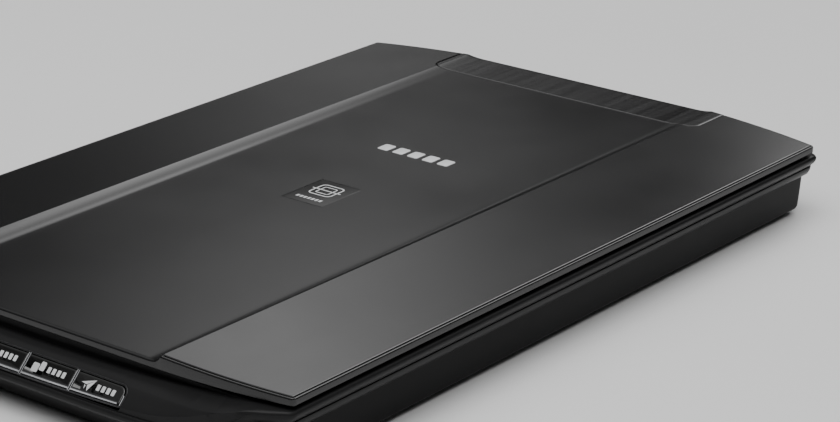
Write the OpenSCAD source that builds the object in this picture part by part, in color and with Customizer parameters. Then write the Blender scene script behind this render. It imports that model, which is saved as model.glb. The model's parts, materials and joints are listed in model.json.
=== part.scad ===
// Compact flatbed document scanner with a hinged, liftable lid.
// Millimetres. +Z up, +X right, the control strip faces -Y and the lid hinges lie along +Y.
// The origin is on the surface the scanner stands on, under the middle of the case.

/* [Case] */
// Half width over the rim bead
half_w = 123.5; // [121:0.5:126]
// Front of the nose and rear of the rim, measured from the middle
half_d = 188.5; // [186:0.5:192]
// How far the front nose falls back at the rim corners
nose_fall = 19.5; // [17:0.5:22]
// How far the rear edge falls back at the corners
rear_fall = 2.5; // [1:0.5:4]
// Height of the rim bead
rim_top = 28.5; // [28.3:0.1:29]
// Rim skirt, lowest edge
skirt_z = 18.5; // [16:0.5:20]
// Underside of the case
case_z = 2.2; // [2:0.1:2.4]
// Bottom wall thickness
floor_t = 2.8; // [2.6:0.1:2.8]

/* [Lid] */
// Half width of the lid
lid_hw = 123; // [120:0.5:123.3]
// Lid front edge on the centre line
lid_front = -174.5; // [-175.5:0.5:-173]
// Lid rear edge on the centre line
lid_rear = 187.5; // [186:0.5:187.8]
// How far the lid corners fall back
lid_bow = 6; // [3:0.5:8]
// Underside of the lid edge
lid_z = 30.2; // [30:0.1:30.6]
// Lid top along its side edges
wing_low = 33.5; // [33:0.1:34]
// Lid top beside the centre panel
wing_high = 36; // [35.5:0.1:37]
// Depth of the centre panel at the front
trough_front = 2.7; // [2:0.1:2.8]
// Depth of the centre panel at the rear
trough_rear = 0.85; // [0.6:0.05:1.2]
// Lid skin thickness
skin = 1.8; // [1.5:0.1:2]

/* [Optics] */
// Platen glass thickness
glass_t = 2.3; // [2:0.1:2.3]
// Half width of the scan window
win_hw = 108.5; // [107:0.5:109]
// Carriage travel
travel = 298; // [280:1:300]

/* [Controls] */
// Button pitch
button_pitch = 24.8; // [24:0.1:25]
// Gap around a button
button_gap = 0.25; // [0.2:0.05:0.4]

/* [Hidden] */

$fn = 48;
eps = 0.01;
big = 400;

// Heights of the stack above the surface
floor_z = case_z + floor_t;
frame_top = rim_top - 0.4;
lip_z = 26.8;
tape_t = 0.2;
glass_top = lip_z - tape_t;
glass_z = glass_top - glass_t;

// Scan window and glass
win_y0 = -151;
win_y1 = 148;
glass_hw = 112;
glass_y0 = -158;
glass_y1 = 155;

// Hinge line
hinge_y = 183.8;
hinge_z = 31.2;
hinge_x = [-60, 58.5];
knuckle_r = 2.4;
hinge_pin_r = 1.25;

// Carriage at its home place
home_y = -152.5;
guide_x = -40;
guide_z = 9.4;
guide_r = 2.5;
tray_z = 12.3;
tray_t = 1.3;
plate_x0 = -46;
plate_x1 = 26;

// Modules and tooth numbers of the carriage drive
rack_mod = 0.8;
pinion_z = 18;
drive_z = 60;
reduction_z = 36;
small_z = 14;
fine_mod = 0.5;

// Gear train, seen from above; the angles turn each mesh round the case's tall parts
mesh_a = 20;
mesh_b = 32;
pinion_pr = rack_mod * pinion_z / 2;
drive_c = [-18, home_y + 5];
reduction_c = drive_c + fine_mod * (drive_z + small_z) / 2 * [cos(mesh_a), sin(mesh_a)];
motor_c = reduction_c + fine_mod * (small_z + reduction_z) / 2 * [cos(mesh_b), sin(mesh_b)];
rack_x = drive_c[0] - pinion_pr;
layer_low = [6.2, 9.2];
layer_high = [9.6, 12.0];

// Button strip: a straight row whose surface leans at this angle on the nose
lean = 45;
strip_y = -half_d + 4.8;
strip_z = 20.2;
strip_mid = -5.3;
button_x = [for (i = [-2:2]) strip_mid + i * button_pitch];
button_w = button_pitch - 1.2;
button_h = 7.6;
bezel_w = 5 * button_pitch + 0.7;
bezel_h = 9.4;
board_w = -8.4;

// Main board outline
board_z = [6.5, 7.9];
usb_y = 165.5;

// Case screws and feet, each with the height of its seat
screw_at = [[-90, -168.5], [90, -168.5], [-104, 178], [104, 178], [0, 180]];
screw_seat = 6;
foot_at = [[-100, -150], [100, -150], [-100, 158], [100, 158]];
foot_seat = 4.2;

// ---------- outlines ----------

function front_y(x) = -half_d + nose_fall * pow(abs(x) / half_w, 5);
function front_slope(x) = 5 * nose_fall / half_w * pow(x / half_w, 4);
function rear_y(x) = half_d - rear_fall * pow(x / half_w, 2);

// One closed outline of the case, inset by ix at the sides, fy at the front and ry at the rear,
// with no point ahead of flat
function case_ring(ix, fy, ry, flat, r = 4.5, n = 30) =
    let (
        hw = half_w - ix,
        xa = hw - r,
        lean_a = atan(front_slope(xa)),
        xe = xa + r * sin(lean_a),
        yf = front_y(xe) + fy + r * cos(lean_a),
        yr = rear_y(xa) - ry - r
    )
    concat(
        [for (k = [0:n]) let (x = -xe + 2 * xe * k / n) [x, max(front_y(x) + fy, flat)]],
        [for (k = [1:4]) let (a = -90 + lean_a + (90 - lean_a) * k / 4)
            [xa + r * cos(a), yf + r * sin(a)]],
        [for (k = [0:4]) let (a = 90 * k / 4) [xa + r * cos(a), yr + r * sin(a)]],
        [for (k = [1:n / 2]) let (x = xa - 2 * xa * k / (n / 2)) [x, rear_y(x) - ry]],
        [for (k = [1:4]) let (a = 90 + 90 * k / 4) [-xa + r * cos(a), yr + r * sin(a)]],
        [for (k = [0:3]) let (a = 180 + (90 - lean_a) * k / 4) [-xa + r * cos(a), yf + r * sin(a)]]
    );

// Solid through rings of equal point count, each given with its height
module loft(rings) {
    n = len(rings[0][1]);
    m = len(rings);
    points = [for (ring = rings) for (p = ring[1]) [p[0], p[1], ring[0]]];
    faces = concat(
        [[for (k = [n - 1:-1:0]) k]],
        [[for (k = [0:n - 1]) (m - 1) * n + k]],
        [for (j = [0:m - 2]) for (k = [0:n - 1]) let (a = j * n + k, b = j * n + (k + 1) % n)
            each [[a, b, b + n], [a, b + n, a + n]]]
    );
    polyhedron(points = points, faces = [for (f = faces) [for (k = [len(f) - 1:-1:0]) f[k]]]);
}

// Case solid through levels of [height, side inset, front inset, rear inset, front limit if any]
module case_loft(levels) {
    loft([for (l = levels) [l[0], case_ring(l[1], l[2], l[3], len(l) > 4 ? l[4] : -big)]]);
}

module box(a, b) {
    translate(a) cube(b - a);
}

module rod_y(x, z, r, y0, y1) {
    translate([x, y0, z]) rotate([-90, 0, 0]) cylinder(h = y1 - y0, r = r);
}

module rod_x(y, z, r, x0, x1) {
    translate([x0, y, z]) rotate([0, 90, 0]) cylinder(h = x1 - x0, r = r);
}

// ---------- gears ----------

function involute(a) = tan(a) * 180 / PI - a;

// Half the angle a tooth fills at radius r
function half_tooth(r, pr, z, play) =
    90 / z - play / 2 / pr * 180 / PI + involute(20)
    - (r > pr * cos(20) ? involute(acos(pr * cos(20) / r)) : 0);

function gear_points(z, m, play = 0.16, add = 0.8, ded = 1.05, n = 4) =
    let (
        pr = z * m / 2,
        base = max(pr * cos(20), pr - ded * m),
        root = pr - ded * m,
        tip = pr + add * m,
        radii = concat([root], [for (k = [0:n]) base + 0.02 + (tip - base - 0.02) * k / n])
    )
    [for (i = [0:z - 1]) each concat(
        [for (r = radii) let (a = 360 * i / z - half_tooth(r, pr, z, play)) r * [cos(a), sin(a)]],
        [for (k = [len(radii) - 1:-1:0]) let (r = radii[k], a = 360 * i / z + half_tooth(r, pr, z, play))
            r * [cos(a), sin(a)]]
    )];

module gear(z, m, c, span, turn) {
    translate([c[0], c[1], span[0]]) rotate([0, 0, turn])
        linear_extrude(span[1] - span[0]) polygon(gear_points(z, m));
}

// ---------- front strip ----------

// Where the scooped deck ends, and how far out the strip's slope stays whole
deck_end = 112;
strip_hw = 68;

// Height of the deck, and how strongly the strip's slope shows, 1 to 0
function deck_z(x) = rim_top + 0.05 - 3.35 * (1 - pow(x / deck_end, 2));
function strip_t(x) = 1 - pow(max(0, abs(x) - strip_hw) / (deck_end - strip_hw), 2);

// Upper and lower edge of the strip's slope as [y, z]
function strip_top(x) =
    let (t = strip_t(x), back = front_y(x) + half_d)
    [front_y(x) + max(8 - back, 1.5) * t, 23.5 * t + deck_z(x) * (1 - t)];
function strip_foot(x) =
    let (t = strip_t(x), back = front_y(x) + half_d)
    [front_y(x) + 1.75 * t - 0.15, min((17 + back) * t + 27.2 * (1 - t), strip_top(x)[1] - 0.35)];

// Section of the air over the deck and strip at x
function air_section(x) =
    let (t = strip_t(x), yn = front_y(x), zd = deck_z(x), z_lip = 14.2 + 12.6 * (1 - t))
    [
        [-170.3, frame_top + 1],
        [-170.8, zd + (frame_top - zd) * 0.3],
        [max(-173.5, (strip_top(x)[0] - 170.8) / 2), zd],
        strip_top(x),
        strip_foot(x),
        [yn - 0.4, z_lip],
        [yn - 9, z_lip],
        [yn - 9, 50],
        [-170.3, 50]
    ];

// Hollow of the nose under the deck, in straight steps that keep a wall all round
module nose_hollow() {
    step = 24;
    for (s = [-1, 1]) for (k = [0:3]) {
        x0 = step * k;
        x1 = x0 + step;
        yn = front_y(x1) + 2.2;
        translate([s > 0 ? x0 - eps : -x1, 0, 0]) rotate([90, 0, 90]) linear_extrude(step + eps) polygon([
            [yn, 11],
            [-164, 11],
            [-164, lip_z - 0.6],
            [-168.4, lip_z - 0.6],
            [-171, deck_z(x0) - 1.8],
            [strip_top(x1)[0] + 1.2, strip_top(x0)[1] - 2.2],
            [strip_foot(x1)[0] + 2.2, strip_foot(x0)[1] - 1.5],
            [yn, 13.5]
        ]);
    }
}

module front_air() {
    steps = 20;
    stations = [for (k = [0:steps]) deck_end * (2 * k / steps - 1)];
    sections = [for (x = stations) air_section(x)];
    n = len(sections[0]);
    points = [for (j = [0:steps]) for (p = sections[j]) [stations[j], p[0], p[1]]];
    sides = [for (j = [0:steps - 1]) for (k = [0:n - 1])
        each [[j * n + k, j * n + (k + 1) % n, (j + 1) * n + (k + 1) % n],
            [j * n + k, (j + 1) * n + (k + 1) % n, (j + 1) * n + k]]];
    // Each end is a fan from the section's far upper corner
    fan = n - 2;
    ends = [for (k = [1:n - 2]) each [[fan, (fan + k + 1) % n, (fan + k) % n],
        [steps * n + fan, steps * n + (fan + k) % n, steps * n + (fan + k + 1) % n]]];
    polyhedron(points = points, faces = concat(sides, ends));
}

// Places its children on the strip at x: local Z is the strip's outward normal
module on_strip(x) {
    translate([x, strip_y, strip_z]) rotate([lean, 0, 0]) children();
}

// ---------- base ----------

lower_levels = [[case_z, 8.6, 5.6, 4.0, -177.4], [case_z + 0.5, 7.6, 4.2, 2.9, -178],
    [case_z + 1.4, 7.1, 3.4, 2.2, -178.9], [6, 6.9, 2.8, 2.0, -180.6], [12.3, 6.4, 1.8, 1.8, -187],
    [18.4, 6.0, 1.2, 1.6]];
cavity_levels = [[floor_z, 10.2, 5, 4.2, -175.8], [9, 10.2, 5, 4.2, -179.5], [12.3, 10.2, 5, 4.2, -182.5],
    [23, 10.2, 5, 4.2, -182.5]];

module screw_bosses(z0, z1, r) {
    for (p = screw_at) translate([p[0], p[1], z0]) cylinder(h = z1 - z0, r = r);
}

module lower_case() {
    color([0.13, 0.13, 0.135])
    difference() {
        union() {
            difference() {
                union() {
                    case_loft(lower_levels);
                    case_loft([[18.3, 8.0, 8, 3.9], [22, 8.0, 8, 3.9]]);
                }
                case_loft(cavity_levels);
                translate([-big / 2, -big, 12.3]) cube([big, big - 164.3, 30]);
            }
            screw_bosses(floor_z - 1, 8, 4.6);
            // Cradles of the guide rod
            box([guide_x - 4, -169.5, floor_z - 1], [guide_x + 4, -165.2, 11.6]);
            box([guide_x - 4, 175.6, floor_z - 1], [guide_x + 4, 180.5, 11.6]);
            // Support rails of the carriage
            box([108, -163.5, floor_z - 1], [110, 157.5, 11.6]);
            box([-110, -163.5, floor_z - 1], [-108, 157.5, 11.6]);
            // Standoffs of the main board
            for (p = board_screw_at) translate([p[0], p[1], floor_z - 1])
                cylinder(h = board_z[0] - floor_z + 1, r = 3);
            // Guides of the transport lock
            for (y = [-161.4, -149.8]) box([74, y, floor_z - 1], [92, y + 1.2, 7.2]);
            // Seats of the feet
            for (p = foot_at) translate([p[0], p[1], floor_z - 1]) cylinder(h = 2.2, r = 7);
        }
        for (p = screw_at) {
            translate([p[0], p[1], case_z - 1]) cylinder(h = screw_seat - case_z + 1, r = 3);
            translate([p[0], p[1], case_z]) cylinder(h = 9, r = 1.7);
        }
        for (p = foot_at) translate([p[0], p[1], case_z - 1]) cylinder(h = foot_seat - case_z + 1, r = 5.6);
        for (p = board_screw_at) translate([p[0], p[1], floor_z - 0.5]) cylinder(h = 3, r = 1.1);
        rod_y(guide_x, guide_z, guide_r + 0.02, -168.2, -160);
        rod_y(guide_x, guide_z, guide_r + 0.02, 170, 179.2);
        // Slot of the transport lock
        box([76.2, -158.3, case_z - 1], [90.8, -151.7, floor_z + 1]);
        // Window of the USB socket
        box([-130, usb_y - 4.6, 7.4], [-110, usb_y + 4.6, 12.9]);
    }
}

rim_levels = [[skirt_z, 5.6, 5.6, 3.2], [skirt_z + 0.5, 4.2, 4.2, 2.4], [20, 2.9, 2.9, 1.9],
    [21.5, 2.1, 2.1, 1.6], [23, 1.8, 1.8, 1.5], [23.5, 2.3, 2.3, 1.9], [24.1, 1.7, 1.7, 1.3],
    [25, 0.8, 0.8, 0.6], [26, 0.2, 0.2, 0.15],
    [26.9, 0, 0, 0], [27.7, 0.3, 0.3, 0.25], [28.2, 0.8, 0.8, 0.7], [rim_top, 1.7, 1.7, 1.5]];

module upper_case() {
    color([0.15, 0.15, 0.155])
    difference() {
        union() {
            difference() {
                union() {
                    case_loft(rim_levels);
                    intersection() {
                        case_loft([[12.4, 7, 1.4, 5], [12.9, 6.8, 0.6, 5], [13.8, 6.6, 0.1, 5],
                            [14.6, 6.5, 0, 5], [27.4, 6.5, 0, 5], [28, 6.5, 1, 5]]);
                        translate([-big / 2, -big, 0]) cube([big, big - 164.8, 60]);
                    }
                }
                front_air();
                intersection() {
                    case_loft([[skirt_z - 1, 7.6, 2.2, 3.5], [lip_z, 7.6, 2.2, 3.5]]);
                    translate([-big / 2, -164.5, 0]) cube([big, big, 60]);
                }
                nose_hollow();
                // Lower ledge inside the rim bead, and the hinge relief at the rear
                case_loft([[frame_top, 5, 20, 5], [40, 5, 20, 5]]);
                box([-92, 182.2, 26.9], [92, 200, 40]);
            }
            screw_bosses(8.1, lip_z + 0.1, 3);
            // Locating ribs round the glass
            for (s = [-1, 1])
                box([s * 113 - 0.6, glass_y0, glass_z - 0.3], [s * 113 + 0.6, glass_y1, lip_z + 0.3]);
        }
        box([-win_hw, win_y0, 20], [win_hw, win_y1, 40]);
        screw_bosses(8, 20, 1.25);
        for (x = hinge_x) box([x - 8.3, 176.1, 20], [x + 8.3, 181.7, 40]);
        on_strip(strip_mid) translate([-bezel_w / 2 - 0.35, -bezel_h / 2 - 0.2, -9])
            cube([bezel_w + 0.7, bezel_h + 0.4, 20]);
    }
}

module platen_glass() {
    color([0.75, 0.85, 0.82, 0.4])
    box([-glass_hw, glass_y0, glass_z], [glass_hw, glass_y1, glass_top]);
}

module glass_tape() {
    color([0.1, 0.1, 0.1])
    difference() {
        box([-glass_hw + 0.5, win_y0, glass_top], [glass_hw - 0.5, glass_y1 - 0.5, lip_z]);
        box([-win_hw - 0.3, win_y0 - 1, glass_top - 1], [win_hw + 0.3, win_y1 + 0.3, lip_z + 1]);
    }
}

module calibration_strip() {
    color([0.95, 0.95, 0.93])
    box([-glass_hw + 1, glass_y0 + 1, glass_top], [glass_hw - 1, win_y0 - 0.2, lip_z]);
}

module button_bezel() {
    color([0.3, 0.3, 0.31])
    difference() {
        on_strip(strip_mid) translate([-bezel_w / 2, -bezel_h / 2, -1.6]) cube([bezel_w, bezel_h, 1.8]);
        for (x = button_x) on_strip(x) translate([-button_w / 2 - button_gap, -button_h / 2 - button_gap, -3])
            cube([button_w + 2 * button_gap, button_h + 2 * button_gap, 6]);
    }
}

module button(x) {
    color([0.05, 0.05, 0.05])
    on_strip(x) {
        translate([-button_w / 2, -button_h / 2, -1.4]) cube([button_w, button_h, 1.7]);
        translate([-4, -1.5, -5.9]) cube([8, 3, 4.7]);
    }
}

module button_board() {
    color([0.1, 0.35, 0.2])
    on_strip(strip_mid) translate([-58, -2.4, board_w - 1.2]) cube([114, 8.9, 1.2]);
}

module key_switches() {
    color([0.7, 0.7, 0.72])
    for (x = button_x) on_strip(x) {
        translate([-3, -1.8, board_w]) cube([6, 3.6, 1.5]);
        translate([0, 0, board_w + 1.5]) cylinder(h = 0.3, r = 1);
    }
}

module key_ribbon() {
    // Runs from the button board down to the floor and back to the main board
    path = [[-177.2, 12.4], [-176.8, 9], [-175.4, 6.6], [-172.5, 5.4], [-36, 5.4], [-33.5, 6.4],
        [-32, 8.2], [-30.1, 8.7]];
    color([0.85, 0.85, 0.82]) ribbon_band(path, -50.6, 4.6, 0.15);
}

// Flat band through points of [y, z], centred on x
module ribbon_band(path, x, w, t) {
    translate([x - w / 2, 0, 0]) rotate([90, 0, 90]) linear_extrude(w) polygon(band_outline(path, t));
}

function unit(v) = v / norm(v);
function band_normal(p, k) =
    let (
        a = p[max(k - 1, 0)],
        b = p[min(k + 1, len(p) - 1)],
        d = unit(b - a)
    )
    [-d[1], d[0]];
function band_outline(p, t) = concat(
    [for (k = [0:len(p) - 1]) p[k] + band_normal(p, k) * t / 2],
    [for (k = [len(p) - 1:-1:0]) p[k] - band_normal(p, k) * t / 2]
);

board_screw_at = [[-100, -20], [-66, -20], [-100, 140]];

module main_board() {
    color([0.08, 0.3, 0.16])
    difference() {
        translate([0, 0, board_z[0]]) linear_extrude(board_z[1] - board_z[0])
            polygon([[-105, -30], [-47.8, -30], [-47.8, -4], [-86, -4], [-86, 172], [-112.5, 172],
                [-112.5, 158.5], [-105, 158.5]]);
        for (p = board_screw_at) translate([p[0], p[1], 5]) cylinder(h = 5, r = 1.3);
    }
}

module board_chips() {
    color([0.12, 0.12, 0.12]) {
        translate([0, 0, board_z[1]]) {
            translate([-101, 30, 0]) cube([11, 11, 1.2]);
            translate([-101, 52, 0]) cube([9, 6, 1.0]);
            translate([-100, 70, 0]) cube([6, 10, 1.6]);
            translate([-99, 92, 0]) cylinder(h = 2.6, r = 2.5);
            translate([-99, 104, 0]) cylinder(h = 2.6, r = 2.5);
            translate([-84, -7.5, 0]) cube([20, 3, 1.9]);
            translate([-53.3, -30, 0]) cube([5.4, 3, 1.5]);
        }
    }
}

module board_screws() {
    color([0.6, 0.6, 0.62])
    for (p = board_screw_at) {
        translate([p[0], p[1], board_z[1]]) cylinder(h = 1.4, r = 2.2);
        translate([p[0], p[1], floor_z - 0.4]) cylinder(h = board_z[1] - floor_z + 0.5, r = 1.05);
    }
}

module usb_socket() {
    color([0.75, 0.75, 0.77])
    difference() {
        box([-115.2, usb_y - 3.85, board_z[1]], [-106, usb_y + 3.85, board_z[1] + 4]);
        box([-116, usb_y - 3.45, board_z[1] + 0.45], [-107, usb_y + 3.45, board_z[1] + 3.6]);
    }
}

module usb_tongue() {
    color([0.9, 0.9, 0.88])
    box([-113.6, usb_y - 2.4, board_z[1] + 1.7], [-107, usb_y + 2.4, board_z[1] + 2.4]);
}

module guide_rod() {
    color([0.75, 0.76, 0.78]) rod_y(guide_x, guide_z, guide_r, -168, 179);
}

module drive_rack() {
    pitch = PI * rack_mod;
    root = -1.05 * rack_mod;
    tip = 0.8 * rack_mod;
    half = pitch / 4 - 0.08;
    first = drive_c[1] - 4 * pitch + pitch / 2;
    count = floor((travel + 14) / pitch) + 6;
    teeth = [for (k = [0:count - 1]) let (y = first + k * pitch) each [
        [root, y - half - tan(20) * 1.05 * rack_mod],
        [tip, y - half + tan(20) * tip],
        [tip, y + half - tan(20) * tip],
        [root, y + half + tan(20) * 1.05 * rack_mod]
    ]];
    last = first + (count - 1) * pitch;
    color([0.85, 0.85, 0.82])
    translate([rack_x, 0, floor_z]) linear_extrude(4.2)
        polygon(concat([[-4, first - 3]], [[root, first - 3]], teeth, [[root, last + 3]], [[-4, last + 3]]));
}

module hinge_guides() {
    color([0.1, 0.1, 0.105])
    for (x = hinge_x) difference() {
        box([x - 11.5, 174.4, floor_z], [x + 11.5, 182.9, lip_z]);
        box([x - 9.8, 176.0, floor_z - 1], [x + 9.8, 181.6, 21.8]);
        box([x - 8.2, 176.2, 20], [x + 8.2, 181.6, 30]);
    }
}

module rubber_feet() {
    color([0.08, 0.08, 0.08])
    for (p = foot_at) {
        translate([p[0], p[1], 0]) cylinder(h = foot_seat, r = 5.5);
    }
}

module case_screws() {
    color([0.3, 0.3, 0.32])
    for (p = screw_at) {
        translate([p[0], p[1], screw_seat - 1.8]) cylinder(h = 1.8, r = 2.7);
        translate([p[0], p[1], screw_seat]) cylinder(h = 9, r = 1.2);
    }
}

module lock_slider() {
    color([0.8, 0.8, 0.78]) {
        box([72, -160, floor_z + 0.15], [92, -150, 6.6]);
        difference() {
            box([83.5, -158, case_z + 0.3], [90, -152, 5.3]);
            for (k = [0:2]) box([84.6 + 1.7 * k, -159, case_z], [85.4 + 1.7 * k, -151, case_z + 0.9]);
        }
        box([78.5, -157, 6.5], [82, -153, 10]);
        box([69.3, -157, 8], [82, -153, 10]);
    }
}

// ---------- scanning carriage ----------

module carriage_frame() {
    y = home_y;
    color([0.2, 0.2, 0.21])
    difference() {
        union() {
            box([-112.4, y - 9.5, tray_z], [112.4, y + 9.5, tray_z + tray_t]);
            box([-112.4, y - 9.5, tray_z], [112.4, y - 8.0, 16]);
            box([-112.4, y + 7.1, tray_z], [112.4, y + 8.2, 16]);
            for (s = [-1, 1]) box([s * 111.8 - 0.6, y - 9.5, tray_z], [s * 111.8 + 0.6, y + 9.5, 20]);
            box([plate_x0, y - 11.2, tray_z], [plate_x1, y + 29, tray_z + tray_t]);
            box([plate_x0, y - 11.2, 5.7], [plate_x0 + 12, y + 29, tray_z + 0.5]);
            for (s = [-1, 1]) translate([s * 58, y, 8.5]) cylinder(h = 4.5, r = 3.2);
            // Lug that the transport lock holds
            box([66, y - 7.5, 6.9], [68.5, y + 2.5, tray_z + 0.5]);
        }
        rod_y(guide_x, guide_z, guide_r + 0.05, y - 20, y + 40);
        for (s = [-1, 1]) translate([s * 58, y, 9.3]) cylinder(h = 10, r = 2.5);
        box([65, y - 5, 7.6], [70, y, 10.4]);
        translate([motor_c[0], motor_c[1], 10]) cylinder(h = 6, r = 3.2);
        for (c = [drive_c, reduction_c]) translate([c[0], c[1], 10]) cylinder(h = 6, r = 1.5);
        for (p = motor_screw_at) translate([p[0], p[1], 10]) cylinder(h = 6, r = 1.1);
    }
}

motor_screw_at = [for (s = [-1, 1]) motor_c + s * 7 * [1, 0]];

module carriage_shoes() {
    color([0.9, 0.9, 0.88])
    for (s = [-1, 1]) box([s * 109 - 1.8, home_y - 7, 11.65], [s * 109 + 1.8, home_y + 7, tray_z]);
}

module motor_can() {
    color([0.7, 0.7, 0.72])
    difference() {
        union() {
            translate([motor_c[0], motor_c[1], tray_z + tray_t]) cylinder(h = 9.8, r = 9.4);
            translate([motor_c[0], motor_c[1], tray_z + tray_t - 0.9]) cylinder(h = 1, r = 3);
        }
        translate([motor_c[0], motor_c[1], 10]) cylinder(h = 10, r = 1.05);
        for (p = motor_screw_at) translate([p[0], p[1], 10]) cylinder(h = 5.6, r = 1);
    }
}

module motor_screws() {
    color([0.6, 0.6, 0.62])
    for (p = motor_screw_at) {
        translate([p[0], p[1], tray_z - 1.0]) cylinder(h = 1.0, r = 1.9);
        translate([p[0], p[1], tray_z - 0.5]) cylinder(h = 3.6, r = 0.95);
    }
}

module gear_axles() {
    color([0.78, 0.78, 0.8])
    for (c = [drive_c, reduction_c]) translate([c[0], c[1], 5.55]) cylinder(h = 8, r = 1.45);
}

module axle_clips() {
    color([0.5, 0.5, 0.52])
    for (c = [drive_c, reduction_c]) difference() {
        translate([c[0], c[1], 5.6]) cylinder(h = 0.35, r = 2.6);
        translate([c[0], c[1], 5]) cylinder(h = 2, r = 1.46);
    }
}

module float_springs() {
    color([0.75, 0.75, 0.78])
    for (s = [-1, 1]) translate([s * 58, home_y, 0]) difference() {
        translate([0, 0, 9.35]) cylinder(h = 5.5, r = 2.2);
        translate([0, 0, 9]) cylinder(h = 7, r = 1.6);
    }
}

module motor_pinion() {
    color([0.85, 0.72, 0.35]) {
        gear(small_z, fine_mod, motor_c, layer_low, mesh_b + 180 + 180 / small_z);
        translate([motor_c[0], motor_c[1], 6.2]) cylinder(h = 13, r = 1);
    }
}

module reduction_gear() {
    color([0.9, 0.9, 0.88])
    difference() {
        union() {
            gear(reduction_z, fine_mod, reduction_c, layer_low, mesh_b);
            gear(small_z, fine_mod, reduction_c, [layer_low[1] - 0.1, layer_high[1]],
                mesh_a + 180 + 180 / small_z);
        }
        translate([reduction_c[0], reduction_c[1], 5]) cylinder(h = 10, r = 1.5);
    }
}

module drive_gear() {
    color([0.92, 0.92, 0.9])
    difference() {
        union() {
            gear(drive_z, fine_mod, drive_c, layer_high, mesh_a);
            gear(pinion_z, rack_mod, drive_c, [6.05, layer_high[0] + 0.1], 0);
        }
        translate([drive_c[0], drive_c[1], 5]) cylinder(h = 10, r = 1.5);
    }
}

// ---------- contact image sensor ----------

cis_hw = 110.4;
cis_z = [15.8, 23.4];

module cis_housing() {
    y = home_y;
    color([0.12, 0.12, 0.12])
    difference() {
        box([-cis_hw, y - 6.5, cis_z[0]], [cis_hw, y + 6.5, cis_z[1]]);
        box([-107, y - 5.9, cis_z[1] - 0.85], [107, y + 5.9, cis_z[1] + 1]);
        box([-106, y - 1.05, cis_z[0] - 1], [106, y + 1.05, cis_z[1]]);
        box([-106, y + 2.1, 18.4], [108.6, y + 5.3, cis_z[1]]);
    }
}

module cis_glass() {
    color([0.8, 0.88, 0.85, 0.4])
    box([-106.9, home_y - 5.8, cis_z[1] - 0.8], [106.9, home_y + 5.8, cis_z[1] - 0.05]);
}

module lens_array() {
    color([0.15, 0.15, 0.15]) box([-105.9, home_y - 1, 16.9], [105.9, home_y + 1, 22.4]);
}

module light_guide() {
    color([0.9, 0.95, 0.95, 0.6])
    translate([-105.8, home_y, 0]) rotate([90, 0, 90]) linear_extrude(211)
        polygon([[2.3, 18.6], [5.1, 18.6], [5.1, 21.2], [4.0, 22.4], [2.9, 22.4], [2.3, 21.6]]);
}

module led_block() {
    color([0.95, 0.95, 0.9]) box([105.3, home_y + 2.3, 18.6], [108.4, home_y + 5.1, 22.3]);
}

module sensor_board() {
    color([0.1, 0.35, 0.2]) box([-109.5, home_y - 5.6, 14.9], [109.5, home_y + 5.6, cis_z[0]]);
}

module sensor_chips() {
    color([0.15, 0.15, 0.16])
    for (k = [0:11]) translate([-105 + 17.5 * k, home_y - 0.5, cis_z[0]]) cube([17, 1, 0.5]);
}

module glide_shoes() {
    color([0.92, 0.92, 0.9])
    for (s = [-1, 1])
        box([s * 108.7 - 1.5, home_y - 5.5, cis_z[1]], [s * 108.7 + 1.5, home_y + 5.5, glass_z - 0.05]);
}

module scan_ribbon() {
    // Leaves the main board, runs back along the floor, folds over and returns to the carriage
    fold_y = 18;
    fold_r = 3.1;
    mid_z = 5.4 + fold_r;
    path = concat(
        [[-4.4, 9.0], [-2, 9.0], [1, 7.8], [4, 5.9], [7, 5.4]],
        [for (k = [0:8]) let (a = -90 + 22.5 * k) [fold_y + fold_r * cos(a), mid_z + fold_r * sin(a)]],
        [[home_y + 12, 11.6], [home_y + 9.8, 11.7]]
    );
    color([0.9, 0.9, 0.88]) ribbon_band(path, -74, 16, 0.15);
}

// ---------- lid hinges ----------

module hinge_post(x) {
    color([0.12, 0.12, 0.125])
    difference() {
        union() {
            box([x - 8, 176.4, 7], [x + 8, 181.4, 28.2]);
            box([x - 9.6, 176.4, 6.2], [x + 9.6, 181.4, 7.6]);
            translate([x - 4, 0, 0]) rotate([90, 0, 90]) linear_extrude(8)
                polygon([[177.4, 27], [181.4, 27], [181.4, 28.3], [185.2, 29.3], [183.8, 31.2],
                    [182.2, 33.0], [178.2, 30.4]]);
            rod_x(hinge_y, hinge_z, knuckle_r, x - 4, x + 4);
        }
        rod_x(hinge_y, hinge_z, hinge_pin_r + 0.05, x - 5, x + 5);
    }
}

module hinge_brackets() {
    color([0.7, 0.7, 0.72])
    for (x = hinge_x) difference() {
        union() {
            box([x - 7.4, 160, 31.5], [x + 7.4, 176.4, 32.8]);
            for (s = [-1, 1]) {
                box([x + s * 5.9 - 1.5, 160, 31.5], [x + s * 5.9 + 1.5, 183.8, 32.8]);
                rod_x(hinge_y, hinge_z, knuckle_r, x + s * 5.9 - 1.5, x + s * 5.9 + 1.5);
            }
        }
        rod_x(hinge_y, hinge_z, hinge_pin_r + 0.02, x - 9, x + 9);
    }
}

module hinge_pins() {
    color([0.8, 0.8, 0.82]) for (x = hinge_x) rod_x(hinge_y, hinge_z, hinge_pin_r, x - 7.8, x + 7.8);
}

// ---------- lid ----------

function lid_fall(x) = lid_bow * pow(max(0, abs(x) - 55) / (lid_hw - 55), 2.4);

function lid_ring(i, n = 40) = concat(
    [[-lid_hw + i, lid_front + lid_bow + i + 1.6]],
    [for (k = [0:n]) let (x = (lid_hw - 1.2 - i) * (2 * k / n - 1)) [x, lid_front + lid_fall(x) + i]],
    [[lid_hw - i, lid_front + lid_bow + i + 1.6]],
    [[lid_hw - i, lid_rear - lid_bow - i - 1.2]],
    [for (k = [0:n]) let (x = (lid_hw - 1.2 - i) * (1 - 2 * k / n)) [x, lid_rear - lid_fall(x) - i]],
    [[-lid_hw + i, lid_rear - lid_bow - i - 1.2]]
);

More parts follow.
